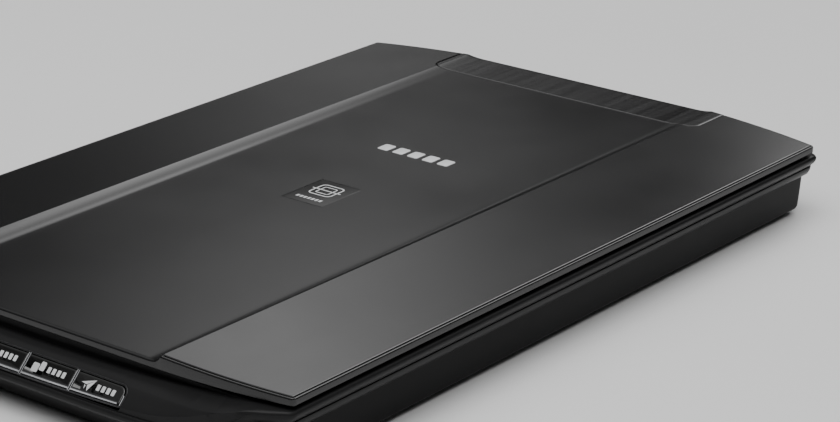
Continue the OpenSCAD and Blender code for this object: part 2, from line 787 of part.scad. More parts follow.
// Places along X where the lid's section changes: wing, left slope, centre panel, right step
slope_l = [-71, -62];
step_r = [58, 66.3];

function lid_section(depth, drop) = [
    [-lid_hw - 1, lid_z], [lid_hw + 1, lid_z],
    [lid_hw + 1, wing_low - 0.9 - drop], [lid_hw - 0.2, wing_low - 0.5 - drop],
    [lid_hw - 1.2, wing_low - drop],
    [step_r[1], wing_high - drop], [step_r[0], wing_high - depth - drop],
    [slope_l[1], wing_high - depth - drop], [slope_l[0], wing_high - drop],
    [-lid_hw + 1.2, wing_low - drop],
    [-lid_hw + 0.2, wing_low - 0.5 - drop], [-lid_hw - 1, wing_low - 0.9 - drop]
];

function trough_at(y) =
    trough_front + (trough_rear - trough_front) * (y - lid_front) / (lid_rear - lid_front);

// Block under the lid's top surface, lowered by drop, over the whole length
module lid_block(drop, bottom = lid_z) {
    ends = [lid_front - 2, lid_rear + 2];
    sections = [for (y = ends) lid_section(trough_at(y), drop)];
    n = len(sections[0]);
    points = [for (j = [0, 1]) for (k = [0:n - 1])
        [sections[j][k][0], ends[j], k < 2 ? bottom : sections[j][k][1]]];
    sides = [for (k = [0:n - 1]) each [[k, (k + 1) % n, n + k], [(k + 1) % n, n + (k + 1) % n, n + k]]];
    polyhedron(points = points, faces = concat([for (f = sides) [f[2], f[1], f[0]]],
        [[for (k = [0:n - 1]) n - 1 - k]], [[for (k = [0:n - 1]) n + k]]));
}

cover_x = [-74.5, 73];
cover_y = 162;

// Plan of the hinge cover, grown by g
module cover_plan(g) {
    r = 6;
    polygon(concat(
        [for (k = [0:6]) let (a = 180 + 15 * k)
            [cover_x[0] + r, cover_y + r] + (r + g) * [cos(a), sin(a)]],
        [for (k = [0:6]) let (a = 270 + 15 * k)
            [cover_x[1] - r, cover_y + r] + (r + g) * [cos(a), sin(a)]],
        [[cover_x[1] + g, 200], [cover_x[0] - g, 200]]
    ));
}

module lid_shell() {
    color([0.22, 0.22, 0.225])
    difference() {
        intersection() {
            lid_block(0);
            translate([0, 0, lid_z - 1]) linear_extrude(10) polygon(lid_ring(0));
        }
        intersection() {
            lid_block(skin, lid_z - 2);
            translate([0, 0, lid_z - 1]) linear_extrude(10) polygon(lid_ring(skin));
        }
        difference() {
            translate([0, 0, lid_z + 1]) linear_extrude(10) cover_plan(0.12);
            lid_block(1.4, lid_z - 2);
        }
        for (x = hinge_x) box([x - 8.4, 175, lid_z - 2], [x + 8.4, 192, 33.75]);
        badge_cut();
        mark_cut();
    }
}

module hinge_cover() {
    color([0.2, 0.2, 0.205])
    difference() {
        intersection() {
            lid_block(0);
            translate([0, 0, lid_z - 1]) linear_extrude(10) polygon(lid_ring(0));
            translate([0, 0, lid_z + 1]) linear_extrude(10) cover_plan(0);
        }
        lid_block(1.35, lid_z - 2);
    }
}

// Inlays on the centre panel: place and size in plan
badge_at = [-2.1, -4.4];
badge_size = [21.2, 26.2];
mark_at = [-1, 57.3];
mark_pitch = 8.1;
mark_size = [5.6, 7];
inlay_gap = 0.2;

// Height of the centre panel at y
function panel_z(y) = wing_high - trough_at(y);

module badge_cut() {
    translate([badge_at[0], badge_at[1], panel_z(badge_at[1]) + 0.4])
        cube([badge_size[0] + inlay_gap, badge_size[1] + inlay_gap, 1.74], center = true);
}

// Places its children at each bar of the mark
module mark_places() {
    for (k = [-2:2]) translate([mark_at[0] + mark_pitch * k, mark_at[1], panel_z(mark_at[1])]) children();
}

module mark_cut() {
    mark_places() translate([0, 0, 0.4])
        cube([mark_size[0] + inlay_gap, mark_size[1] + inlay_gap, 1.6], center = true);
}

module lid_badge() {
    color([0.08, 0.08, 0.08])
    translate([badge_at[0], badge_at[1], panel_z(badge_at[1]) - 0.2])
        cube([badge_size[0], badge_size[1], 0.5], center = true);
}

module lid_mark() {
    color([0.8, 0.8, 0.8])
    mark_places() translate([0, 0, -0.1]) cube([mark_size[0], mark_size[1], 0.5], center = true);
}

module lid_liner() {
    color([0.18, 0.18, 0.18])
    difference() {
        box([-118, -165, 30.4], [118, 174, 31.3]);
        for (s = [-1, 1]) translate([s * 118, -165, 30]) rotate([0, 0, 45]) cube([6, 6, 6], center = true);
    }
}

pad_hw = 107.5;
pad_y = [-150, 147];

module pad_foam() {
    color([0.85, 0.85, 0.83]) box([-pad_hw, pad_y[0], 27.2], [pad_hw, pad_y[1], 30.4]);
}

module pad_sheet() {
    color([0.96, 0.96, 0.95]) box([-pad_hw, pad_y[0], glass_top + 0.1], [pad_hw, pad_y[1], 27.2]);
}

module lid_bumpers() {
    color([0.1, 0.1, 0.1])
    for (s = [-1, 1]) translate([s * 112, -140, frame_top + 0.05])
        cylinder(h = 30.4 - frame_top - 0.05, r = 2.5);
}

lower_case();
upper_case();
platen_glass();
glass_tape();
calibration_strip();
button_bezel();
button(button_x[0]);  // button_1
button(button_x[1]);  // button_2
button(button_x[2]);  // button_3
button(button_x[3]);  // button_4
button(button_x[4]);  // button_5
button_board();
key_switches();
key_ribbon();
main_board();
board_chips();
usb_socket();
usb_tongue();
guide_rod();
drive_rack();
hinge_guides();
rubber_feet();
case_screws();
board_screws();
lock_slider();
scan_ribbon();
carriage_frame();
carriage_shoes();
motor_can();
motor_screws();
gear_axles();
axle_clips();
float_springs();
motor_pinion();
reduction_gear();
drive_gear();
cis_housing();
cis_glass();
lens_array();
light_guide();
led_block();
sensor_board();
sensor_chips();
glide_shoes();
hinge_post(hinge_x[0]);  // hinge_post_left
hinge_post(hinge_x[1]);  // hinge_post_right
lid_shell();
hinge_cover();
lid_badge();
lid_mark();
lid_liner();
pad_foam();
pad_sheet();
hinge_brackets();
hinge_pins();
lid_bumpers();
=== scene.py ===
"""A compact flatbed scanner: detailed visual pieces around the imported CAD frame, in metres."""

import json
import math

import bmesh
import bpy
from mathutils import Matrix, Vector


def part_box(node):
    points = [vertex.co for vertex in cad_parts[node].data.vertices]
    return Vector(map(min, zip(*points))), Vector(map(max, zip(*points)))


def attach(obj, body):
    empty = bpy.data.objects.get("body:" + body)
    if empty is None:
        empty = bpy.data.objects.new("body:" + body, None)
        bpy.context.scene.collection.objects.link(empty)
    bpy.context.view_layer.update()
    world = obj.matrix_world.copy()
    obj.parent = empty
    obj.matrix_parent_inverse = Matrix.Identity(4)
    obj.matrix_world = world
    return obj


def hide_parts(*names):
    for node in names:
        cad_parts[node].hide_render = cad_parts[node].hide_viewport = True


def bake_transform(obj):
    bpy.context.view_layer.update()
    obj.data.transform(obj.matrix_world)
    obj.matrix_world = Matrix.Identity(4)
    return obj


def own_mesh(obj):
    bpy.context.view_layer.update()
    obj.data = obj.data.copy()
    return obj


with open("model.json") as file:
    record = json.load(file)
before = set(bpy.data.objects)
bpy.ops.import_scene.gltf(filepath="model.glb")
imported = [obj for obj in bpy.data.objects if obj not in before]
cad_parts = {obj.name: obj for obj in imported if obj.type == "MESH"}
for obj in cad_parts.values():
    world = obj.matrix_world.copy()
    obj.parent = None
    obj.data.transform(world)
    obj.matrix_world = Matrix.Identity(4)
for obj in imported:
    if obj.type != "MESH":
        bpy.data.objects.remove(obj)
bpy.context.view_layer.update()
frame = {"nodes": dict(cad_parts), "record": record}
MM = 0.001


# ---------- small helpers ----------

def box_mm(node):
    low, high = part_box(node)
    return low / MM, high / MM


def middle_mm(node):
    low, high = box_mm(node)
    return (low + high) / 2


def clamp(v, low, high):
    return max(low, min(high, v))


def lerp(a, b, t):
    return a + (b - a) * t


def ease(a, b, v):
    """0 at a, 1 at b, smooth between them; a may be above b."""
    t = clamp((v - a) / (b - a), 0, 1)
    return t * t * (3 - 2 * t)


def table(pairs, v):
    """Straight interpolation through (position, value) pairs."""
    if v <= pairs[0][0]:
        return pairs[0][1]
    for (a, p), (b, q) in zip(pairs, pairs[1:]):
        if v <= b:
            return lerp(p, q, (v - a) / (b - a))
    return pairs[-1][1]


def new_object(name, verts, faces):
    """Mesh object from millimetre points, with doubled points merged and normals outward."""
    bm = bmesh.new()
    made = [bm.verts.new(Vector(v) * MM) for v in verts]
    for f in faces:
        corners = [made[i] for i in f]
        if len(set(f)) == len(f) and not bm.faces.get(corners):
            bm.faces.new(corners)
    bmesh.ops.remove_doubles(bm, verts=bm.verts, dist=2e-7)
    bmesh.ops.dissolve_degenerate(bm, dist=1e-8, edges=bm.edges)
    bmesh.ops.recalc_face_normals(bm, faces=bm.faces)
    mesh = bpy.data.meshes.new(name)
    bm.to_mesh(mesh)
    bm.free()
    obj = bpy.data.objects.new(name, mesh)
    bpy.context.scene.collection.objects.link(obj)
    return obj


def bake_modifiers(obj):
    dg = bpy.context.evaluated_depsgraph_get()
    mesh = bpy.data.meshes.new_from_object(obj.evaluated_get(dg), depsgraph=dg)
    obj.modifiers.clear()
    obj.data = mesh


def cut(obj, cutter):
    """Take the cutter's solid away from obj, and the cutter out of the scene."""
    mod = obj.modifiers.new("cut", "BOOLEAN")
    mod.object, mod.operation, mod.solver = cutter, "DIFFERENCE", "EXACT"
    bake_modifiers(obj)
    bpy.data.objects.remove(cutter)


def bevel(obj, width, angle):
    mod = obj.modifiers.new("bevel", "BEVEL")
    mod.width, mod.segments = width * MM, 2
    mod.limit_method, mod.angle_limit = "ANGLE", math.radians(angle)
    bake_modifiers(obj)


def dress(data, look):
    """Give a mesh one material."""
    data.materials.clear()
    data.materials.append(MATERIALS[look])


def finish_piece(obj, body, slot, replaces=None, sharp=30, look=None):
    """Shade a piece, give it its slot's look or another, hang it on its body and hide the CAD part it
    replaces.
    """
    obj.data.shade_smooth()
    obj.data.set_sharp_from_angle(angle=math.radians(sharp))
    dress(obj.data, look or SLOT_LOOK.get(slot, slot))
    if body:
        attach(obj, body)
    if replaces:
        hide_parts(replaces)


def loop_faces(rings, closed=False):
    """Quads between rings of equal point count; closed joins the last ring to the first."""
    n, m, faces = len(rings[0]), len(rings), []
    for j in range(m if closed else m - 1):
        for k in range(n):
            a, b = j * n, ((j + 1) % m) * n
            faces.append((a + k, a + (k + 1) % n, b + (k + 1) % n, b + k))
    return faces


def capped_faces(rings):
    """Quads between rings, with a flat face at each end."""
    n = len(rings[0])
    last = n * (len(rings) - 1)
    return loop_faces(rings) + [tuple(range(n)), tuple(range(last, last + n))]


def points_of(rings):
    return [p for ring in rings for p in ring]


def loft(name, rings):
    """Closed solid through rings, with flat ends."""
    return new_object(name, points_of(rings), capped_faces(rings))


def eased_levels(z0, z1, chamfer):
    """Levels of a prism as (inset, height), with its lower and upper edges eased."""
    if not chamfer:
        return [(0, z0), (0, z1)]
    return [(chamfer, z0), (0, z0 + chamfer), (0, z1 - chamfer), (chamfer, z1)]


class Parts:
    """Collects closed islands of one piece."""

    def __init__(self):
        self.verts, self.faces = [], []

    def add(self, verts, faces):
        base = len(self.verts)
        self.verts += [tuple(v) for v in verts]
        self.faces += [tuple(base + i for i in f) for f in faces]

    def rings(self, rings, place=Matrix.Identity(4)):
        self.add([place @ Vector(p) for p in points_of(rings)], capped_faces(rings))

    def block(self, low, high, place=Matrix.Identity(4), chamfer=0.0):
        """A block with its upper and lower edges eased."""
        def ring(i, z):
            return [(low[0] + i, low[1] + i, z), (high[0] - i, low[1] + i, z),
                    (high[0] - i, high[1] - i, z), (low[0] + i, high[1] - i, z)]
        self.rings([ring(i, z) for i, z in eased_levels(low[2], high[2], chamfer)], place)

    def disc(self, centre, radius, z0, z1, chamfer=0.0, n=40):
        def ring(i, z):
            return [(centre[0] + (radius - i) * math.cos(2 * math.pi * k / n),
                     centre[1] + (radius - i) * math.sin(2 * math.pi * k / n), z) for k in range(n)]
        self.rings([ring(i, z) for i, z in eased_levels(z0, z1, chamfer)])

    def object(self, name):
        return new_object(name, self.verts, self.faces)


# ---------- materials ----------

MATERIALS = {}


def colour_ramp(tree, fac, stops):
    """A ramp through (position, colour) stops."""
    node = tree.nodes.new("ShaderNodeValToRGB")
    elements = node.color_ramp.elements
    while len(elements) < len(stops):
        elements.new(0.5)
    for e, (at, colour) in zip(elements, stops):
        e.position, e.color = at, (*colour, 1)
    tree.links.new(fac, node.inputs[0])
    return node.outputs[0]


class Nodes:
    """One node material, with short calls for the nodes it uses."""

    def __init__(self, name):
        self.mat = bpy.data.materials.new(name)
        self.mat.use_nodes = True
        self.tree = self.mat.node_tree
        self.tree.nodes.clear()
        self.out = self.tree.nodes.new("ShaderNodeOutputMaterial")
        self.shader = self.tree.nodes.new("ShaderNodeBsdfPrincipled")
        self.link(self.shader.outputs[0], self.out.inputs["Surface"])
        self.coord = self.tree.nodes.new("ShaderNodeTexCoord").outputs["Object"]
        MATERIALS[name] = self.mat

    def link(self, a, b):
        self.tree.links.new(a, b)

    def set(self, **values):
        for key, value in values.items():
            self.shader.inputs[key.replace("_", " ")].default_value = value

    def stretched(self, scale):
        node = self.tree.nodes.new("ShaderNodeMapping")
        node.inputs["Scale"].default_value = scale
        self.link(self.coord, node.inputs["Vector"])
        return node.outputs[0]

    def noise(self, scale, detail=2.0, rough=0.5, vector=None):
        node = self.tree.nodes.new("ShaderNodeTexNoise")
        node.inputs["Scale"].default_value = scale
        node.inputs["Detail"].default_value = detail
        node.inputs["Roughness"].default_value = rough
        self.link(vector or self.coord, node.inputs["Vector"])
        return node.outputs["Fac"]

    def cells(self, scale, vector=None):
        node = self.tree.nodes.new("ShaderNodeTexVoronoi")
        node.inputs["Scale"].default_value = scale
        self.link(vector or self.coord, node.inputs["Vector"])
        return node.outputs["Distance"]

    def ramp(self, fac, stops):
        return colour_ramp(self.tree, fac, stops)

    def span(self, fac, low, high, a=0.3, b=0.7):
        node = self.tree.nodes.new("ShaderNodeMapRange")
        for key, value in zip(("From Min", "From Max", "To Min", "To Max"), (a, b, low, high)):
            node.inputs[key].default_value = value
        self.link(fac, node.inputs[0])
        return node.outputs[0]

    def mix(self, share, a, b):
        node = self.tree.nodes.new("ShaderNodeMix")
        node.data_type = "RGBA"
        node.inputs[0].default_value = share
        self.link(a, node.inputs[6])
        self.link(b, node.inputs[7])
        return node.outputs[2]

    def bump(self, height, depth, strength=1.0, after=None):
        node = self.tree.nodes.new("ShaderNodeBump")
        node.inputs["Distance"].default_value = depth * MM
        node.inputs["Strength"].default_value = strength
        self.link(height, node.inputs["Height"])
        if after:
            self.link(after, node.inputs["Normal"])
        self.link(node.outputs[0], self.shader.inputs["Normal"])
        return node.outputs[0]

    def colour(self, socket):
        self.link(socket, self.shader.inputs["Base Color"])

    def rough(self, socket):
        self.link(socket, self.shader.inputs["Roughness"])


def shade(colour, factor):
    return tuple(clamp(c * factor, 0, 1) for c in colour)


def plastic(name, colour, rough, grain=2600, depth=0.012, spread=0.12, specular=0.5, coat=0.0):
    """Moulded plastic: fine erosion grain, faint mottling and slow wear in the gloss."""
    m = Nodes(name)
    m.set(Specular_IOR_Level=specular, Coat_Weight=coat, Coat_Roughness=0.06)
    fine = m.noise(grain, 3.0, 0.6)
    broad = m.noise(22, 3.0, 0.55)
    dark, light = shade(colour, 1 - spread), shade(colour, 1 + spread)
    speck = m.ramp(fine, [(0.28, dark), (0.5, colour), (0.74, light)])
    tone = m.ramp(broad, [(0.3, shade(colour, 0.95)), (0.7, shade(colour, 1.05))])
    m.colour(m.mix(0.35, speck, tone))
    m.rough(m.span(broad, rough - 0.03, rough + 0.04))
    m.bump(fine, depth)


def metal(name, colour, rough, brushed=False, metallic=1.0):
    m = Nodes(name)
    m.set(Metallic=metallic)
    vector = m.stretched((1, 0.03, 1)) if brushed else None
    lines = m.noise(1800 if brushed else 700, 4.0, 0.6, vector)
    broad = m.noise(40, 3.0)
    m.colour(m.ramp(broad, [(0.3, shade(colour, 0.86)), (0.7, colour)]))
    m.rough(m.span(lines, rough - 0.06, rough + 0.1))
    m.bump(lines, 0.006)


def lid_paint(name, colour, rough, streaks):
    """Painted lid plastic: dense fine speckle over soft mottling, brushed fore and aft where streaked."""
    m = Nodes(name)
    m.set(Specular_IOR_Level=0.5)
    fine = m.noise(1500, 4.0, 0.7)
    grit = m.noise(3800, 2.0, 0.6)
    broad = m.noise(14, 3.0, 0.5)
    speck = m.ramp(fine, [(0.25, shade(colour, 0.74)), (0.5, colour), (0.8, shade(colour, 1.3))])
    tone = m.ramp(broad, [(0.3, shade(colour, 0.96)), (0.7, shade(colour, 1.04))])
    look = m.mix(0.4, speck, tone)
    if streaks:
        drawn = m.noise(420, 5.0, 0.7, m.stretched((1, 0.02, 1)))
        lines = m.ramp(drawn, [(0.35, shade(colour, 0.8)), (0.65, shade(colour, 1.2))])
        look = m.mix(0.35, look, lines)
        m.rough(m.span(drawn, rough - 0.035, rough + 0.06, 0.35, 0.65))
    else:
        m.rough(m.span(broad, rough - 0.02, rough + 0.03))
    m.colour(look)
    m.bump(grit, 0.0026, after=m.bump(fine, 0.004))


lid_paint("lid_paint", (0.0105, 0.0105, 0.0108), 0.18, False)
lid_paint("cover_paint", (0.009, 0.009, 0.0093), 0.2, True)
plastic("case_black", (0.0075, 0.0075, 0.0077), 0.42, specular=0.09)
plastic("case_rim", (0.017, 0.017, 0.0174), 0.3, depth=0.006, specular=0.11)
plastic("inner_black", (0.03, 0.03, 0.031), 0.5)
plastic("button_gloss", (0.006, 0.006, 0.006), 0.12, grain=900, depth=0.002, spread=0.3, coat=0.6)
plastic("bezel_gloss", (0.012, 0.012, 0.0125), 0.18, grain=1200, depth=0.003, spread=0.2, coat=0.3)
plastic("badge_gloss", (0.005, 0.005, 0.005), 0.26, grain=1100, depth=0.001, spread=0.2, specular=0.25)
plastic("pom_white", (0.72, 0.71, 0.67), 0.35, grain=1500, spread=0.05)
plastic("white_film", (0.86, 0.86, 0.84), 0.3, grain=1800, depth=0.004, spread=0.03)
plastic("ribbon_film", (0.7, 0.71, 0.72), 0.3, grain=1200, depth=0.004, spread=0.05)
plastic("tape_black", (0.012, 0.012, 0.012), 0.45, grain=1500)
plastic("rubber", (0.02, 0.02, 0.02), 0.8, grain=900, depth=0.03, spread=0.25, specular=0.3)
plastic("chip_black", (0.02, 0.02, 0.021), 0.5, grain=2200)
metal("steel_rod", (0.62, 0.63, 0.65), 0.16, brushed=True)
metal("steel_part", (0.5, 0.51, 0.52), 0.32)
metal("screw_steel", (0.3, 0.3, 0.31), 0.36)
metal("brass", (0.75, 0.55, 0.25), 0.3)
metal("mark_silver", (0.86, 0.87, 0.88), 0.4, metallic=0.4)
# Grey and dark trim: painted shade on the caps' silver trim; the grey one also edges the button strip.
metal("trim_silver", (0.66, 0.67, 0.69), 0.34, metallic=0.4)
metal("trim_grey", (0.12, 0.12, 0.125), 0.3, metallic=0.6)
metal("trim_shade_dark", (0.03, 0.03, 0.031), 0.3, metallic=0.5)


def foam(name):
    m = Nodes(name)
    m.set(Specular_IOR_Level=0.2)
    shaded_pores = m.cells(1100)
    fine = m.noise(1700, 3.0)
    # The pores are painted darker than the cell walls: painted shade in the foam's hollows.
    m.colour(m.ramp(shaded_pores, [(0.1, (0.5, 0.49, 0.46)), (0.5, (0.74, 0.73, 0.7))]))
    m.rough(m.span(fine, 0.85, 0.95))
    m.bump(shaded_pores, 0.12, 0.7)


def glass(name, colour, rough):
    """Clear glass that lets the lamps through to what is behind it."""
    m = Nodes(name)
    m.set(Transmission_Weight=1.0, IOR=1.5)
    broad = m.noise(30, 2.0)
    m.colour(m.ramp(broad, [(0.3, shade(colour, 0.985)), (0.7, colour)]))
    m.rough(m.span(broad, rough, rough + 0.015))
    m.bump(m.noise(60, 2.0), 0.002, 0.3)
    clear = m.tree.nodes.new("ShaderNodeBsdfTransparent")
    clear.inputs[0].default_value = (*colour, 1)
    lamp = m.tree.nodes.new("ShaderNodeLightPath").outputs["Is Shadow Ray"]
    both = m.tree.nodes.new("ShaderNodeMixShader")
    for source, target in zip((lamp, m.shader.outputs[0], clear.outputs[0]), both.inputs):
        m.link(source, target)
    m.link(both.outputs[0], m.out.inputs["Surface"])


def board(name):
    """Solder-masked board, with a lighter net that stands for the copper traces."""
    m = Nodes(name)
    m.set(Coat_Weight=0.3, Coat_Roughness=0.2)
    net = m.cells(420, m.stretched((1, 1, 0.01)))
    fine = m.noise(2500, 2.0)
    greens = [(0.05, (0.02, 0.12, 0.06)), (0.16, (0.01, 0.06, 0.03)), (0.5, (0.008, 0.05, 0.025))]
    m.colour(m.ramp(net, greens))
    m.rough(m.span(fine, 0.35, 0.5))
    m.bump(net, 0.02, 0.6)


foam("pad_foam")
glass("platen_glass", (0.93, 0.97, 0.95), 0.0)
glass("sensor_glass", (0.95, 0.97, 0.96), 0.0)
glass("light_pipe", (0.95, 0.98, 0.97), 0.12)
board("board_green")
plastic("led_white", (0.8, 0.8, 0.74), 0.25, grain=900, spread=0.05)
plastic("lens_black", (0.01, 0.01, 0.012), 0.2, grain=2600, coat=0.3)

# Looks of the slots in the record whose look has another name
SLOT_LOOK = {
    "case_plastic": "case_black", "rim_plastic": "case_rim", "lid_plastic": "lid_paint",
    "cover_plastic": "cover_paint", "inner_plastic": "inner_black", "pom_plastic": "pom_white",
    "button_plastic": "button_gloss", "bezel_plastic": "bezel_gloss", "badge_plastic": "badge_gloss",
    "strip_white": "white_film", "sheet_white": "white_film", "ribbon_white": "ribbon_film",
    "foam": "pad_foam",
}


def dress_cad_nodes():
    """Every carried-over CAD node takes the look of its slot in the record."""
    for part in frame["record"]["subparts"]:
        if part["node"] in frame["nodes"]:
            slot = part["material_slot"]
            dress(frame["nodes"][part["node"]].data, SLOT_LOOK.get(slot, slot))


# ---------- outlines shared with the CAD ----------

CASE_LOW, CASE_HIGH = box_mm("upper_case")
LID_LOW, LID_HIGH = box_mm("lid_shell")
HALF_W, HALF_D = CASE_HIGH.x, -CASE_LOW.y
NOSE_FALL, REAR_FALL = 19.5, 2.5
RIM_TOP = CASE_HIGH.z
PLATE_TOP = RIM_TOP - 0.4
LIP_Z = box_mm("hinge_guides")[1].z
WIN_X, WIN_FRONT, WIN_REAR = 108.5, -151.0, 148.0
# Half widths of the deck's hollow and of the strip's full slope
DECK_END, STRIP_HW = 112.0, 68.0
DECK_DIP = 3.35
# Upper edge of the strip behind the nose, and heights of its upper and lower edges
STRIP_BACK, STRIP_TOP_Z, STRIP_FOOT_Z = 8.0, 23.5, 17.0
# Height to which the strip's foot climbs where the strip ends
FOOT_END_Z = 27.2
# Radius of the case's corners, steps round them and along its front, and a front that is not cut flat
CORNER_R, ARC_STEPS, FRONT_STEPS, REAR_STEPS = 4.5, 12, 120, 60
FRONT_RUN = FRONT_STEPS + 1
NOT_FLAT = -1000.0


def front_y(x):
    return -HALF_D + NOSE_FALL * (abs(x) / HALF_W) ** 5


def front_slope(x):
    return 5 * NOSE_FALL / HALF_W * (x / HALF_W) ** 4


def rear_y(x):
    return HALF_D - REAR_FALL * (x / HALF_W) ** 2


def strip_t(x):
    """1 along the strip, falling to 0 where it runs out into the rim."""
    return max(0.0, 1 - (max(0.0, abs(x) - STRIP_HW) / (DECK_END - STRIP_HW)) ** 2)


def deck_z(x):
    return RIM_TOP + 0.05 - DECK_DIP * max(0.0, 1 - (x / DECK_END) ** 2)


def strip_top(x):
    """Upper edge of the strip's slope: distance behind the front, height."""
    t = strip_t(x)
    return max(STRIP_BACK - front_y(x) - HALF_D, 1.5) * t, lerp(deck_z(x), STRIP_TOP_Z, t)


def strip_foot(x):
    """Lower edge of the strip's slope, in the same way."""
    t, back = strip_t(x), front_y(x) + HALF_D
    return max(0.0, 1.75 * t - 0.15), min(lerp(FOOT_END_Z, STRIP_FOOT_Z + back, t), strip_top(x)[1] - 0.35)


def case_ring(ix, fy, ry, flat=NOT_FLAT):
    """Outline of the case inset at its sides, front and rear; the first FRONT_RUN points are its front."""
    r, quarter = CORNER_R, math.pi / 2
    xa = HALF_W - ix - r
    lean = math.atan(front_slope(xa))
    xe = xa + r * math.sin(lean)
    yf = front_y(xe) + fy + r * math.cos(lean)
    yr = rear_y(xa) - ry - r
    def corner(x, y, start, end, steps):
        angles = [lerp(start, end, k / ARC_STEPS) for k in steps]
        return [(x + r * math.cos(a), y + r * math.sin(a)) for a in angles]
    front = [-xe + 2 * xe * k / FRONT_STEPS for k in range(FRONT_RUN)]
    rear = [xa - 2 * xa * k / REAR_STEPS for k in range(1, REAR_STEPS + 1)]
    ring = [(x, max(front_y(x) + fy, flat)) for x in front]
    ring += corner(xa, yf, lean - quarter, 0, range(1, ARC_STEPS + 1))
    ring += corner(xa, yr, 0, quarter, range(ARC_STEPS + 1))
    ring += [(x, rear_y(x) - ry) for x in rear]
    ring += corner(-xa, yr, quarter, 2 * quarter, range(1, ARC_STEPS + 1))
    ring += corner(-xa, yf, 2 * quarter, 3 * quarter - lean, range(ARC_STEPS))
    return ring


# ---------- upper case ----------

# Rim profile from its lower edge over the bead: height, side, front and rear inset
RIM = [
    (18.5, 5.6, 5.6, 3.2), (18.62, 5.0, 5.0, 2.9), (19.0, 4.2, 4.2, 2.4), (20.0, 2.9, 2.9, 1.9),
    (21.5, 2.1, 2.1, 1.6), (22.6, 1.85, 1.85, 1.5), (23.25, 1.8, 1.8, 1.45), (23.38, 2.4, 2.4, 2.0),
    (23.66, 2.4, 2.4, 1.95), (23.8, 1.78, 1.78, 1.4), (24.3, 1.45, 1.45, 1.1), (25.0, 0.8, 0.8, 0.6),
    (25.6, 0.4, 0.4, 0.32), (26.3, 0.1, 0.1, 0.08), (26.9, 0, 0, 0), (27.3, 0.08, 0.08, 0.06),
    (27.7, 0.3, 0.3, 0.25), (28.0, 0.55, 0.55, 0.45), (28.2, 0.8, 0.8, 0.7), (28.36, 1.15, 1.15, 1.0),
    (28.46, 1.5, 1.5, 1.3), (28.5, 1.9, 1.9, 1.7), (28.5, 2.6, 4, 2.6), (28.5, 3.4, 9, 3.4),
    (28.5, 4.2, 17, 4.2), (28.5, 4.8, 19.8, 4.8),
]
# The level at which the bead is widest
RIM_CREST = 14
# Underside of the shell, from the window outwards and down
UNDER = [
    (26.7, 7.6, 8, 3.5), (26.0, 7.2, 7.6, 4.0), (25.0, 7.0, 7.2, 4.4), (23.0, 6.9, 7.0, 4.5),
    (20.5, 6.8, 6.9, 4.6), (18.5, 6.7, 6.8, 4.7),
]
# Lip under the strip: distance behind the front, and height above the nose wall
LIP = [(0, 0.1), (0.02, 0.5), (0.25, 1.15), (0.65, 1.6), (1.1, 1.65), (1.45, 1.35), (1.6, 1.0)]


# Lower edge of the nose, and top of its wall under the strip and at the strip's ends
NOSE_Z, WALL_Z, WALL_END_Z = 12.4, 14.2, 26.8
# Front of the plate that carries the glass, and the deck's crease: place at the middle, bow, half width
PLATE_FRONT = -170.8
CREASE_Y, CREASE_BOW, CREASE_HW = -177.2, 4.9, 83
# Half height of the buttons' opening, half width of the notch for the lid's rear, and heights over it all
OPENING_HALF, REAR_NOTCH_X, ABOVE_CASE, ABOVE_LID = 4.9, 92, 40, 45.0


def nose_share(x):
    """1 where the nose has its own section, 0 where the rim runs round the corner."""
    return ease(113, 104, abs(x))


def rim_height(d):
    """Height of the bead's top surface at an inset from the edge."""
    return table([(level[2], level[0]) for level in RIM[RIM_CREST:]], d)


def nose_profile(x):
    """Nose section at x as (distance behind the front, height), matched point for point to RIM."""
    t, yn = strip_t(x), front_y(x)
    wall = lerp(WALL_END_Z, WALL_Z, t)
    deck, foot, top = deck_z(x), strip_foot(x), strip_top(x)
    back = PLATE_FRONT - yn
    crease = CREASE_Y + CREASE_BOW * (abs(x) / CREASE_HW) ** 3
    knee = clamp(crease - yn, (top[0] + back) / 2, back - 0.4)
    dip = 1.3 * max(0.0, 1 - (x / 104) ** 2)
    points = [(1.4, NOSE_Z), (0.9, NOSE_Z + 0.12), (0.45, NOSE_Z + 0.5)]
    points += [(max(0.0, lerp(0.2, 0, j / 4)), lerp(NOSE_Z + 1, wall - 0.1, j / 6)) for j in range(7)]
    points += [(d * t, wall + z * t) for d, z in LIP]
    points += [(foot[0] + 0.12 * t, foot[1] + 0.12 * t)]
    points += [(lerp(foot[0], top[0], s), lerp(foot[1], top[1], s)) for s in (0.3, 0.7)]
    points += [(top[0] - 0.25 * t, top[1] - 0.25 * t), (top[0] + 0.3 * t, top[1] + 0.1 * t)]
    points += [(knee, deck), (back, deck - dip), (back + 0.25, 28.2), (back + 0.7, 28.5)]
    return [(d, min(z, rim_height(d)) if d < 1.9 and z > 26 else z) for d, z in points]


def nose_under(x):
    """Underside of the nose section, matched point for point to UNDER."""
    yn, foot, top = front_y(x), strip_foot(x), strip_top(x)
    return [(-168.4 - yn, 26.2), (-171 - yn, deck_z(x) - 1.8), (top[0] + 1.2, top[1] - 2.2),
            (foot[0] + 2.2, foot[1] - 1.4), (2.2, NOSE_Z + 1.2), (2.2, NOSE_Z)]


def shell_ring(level, profile_at, index):
    """One level of the shell: the case outline, turning into the nose section along the front."""
    ring = case_ring(*level[1:])
    made = []
    for k, (x, y) in enumerate(ring):
        z = level[0]
        share = nose_share(x) if k < FRONT_RUN else 0
        if share > 0:
            d, h = profile_at(x)[index]
            y, z = lerp(y, front_y(x) + d, share), lerp(z, h, share)
        made.append((x, y, z))
    return made


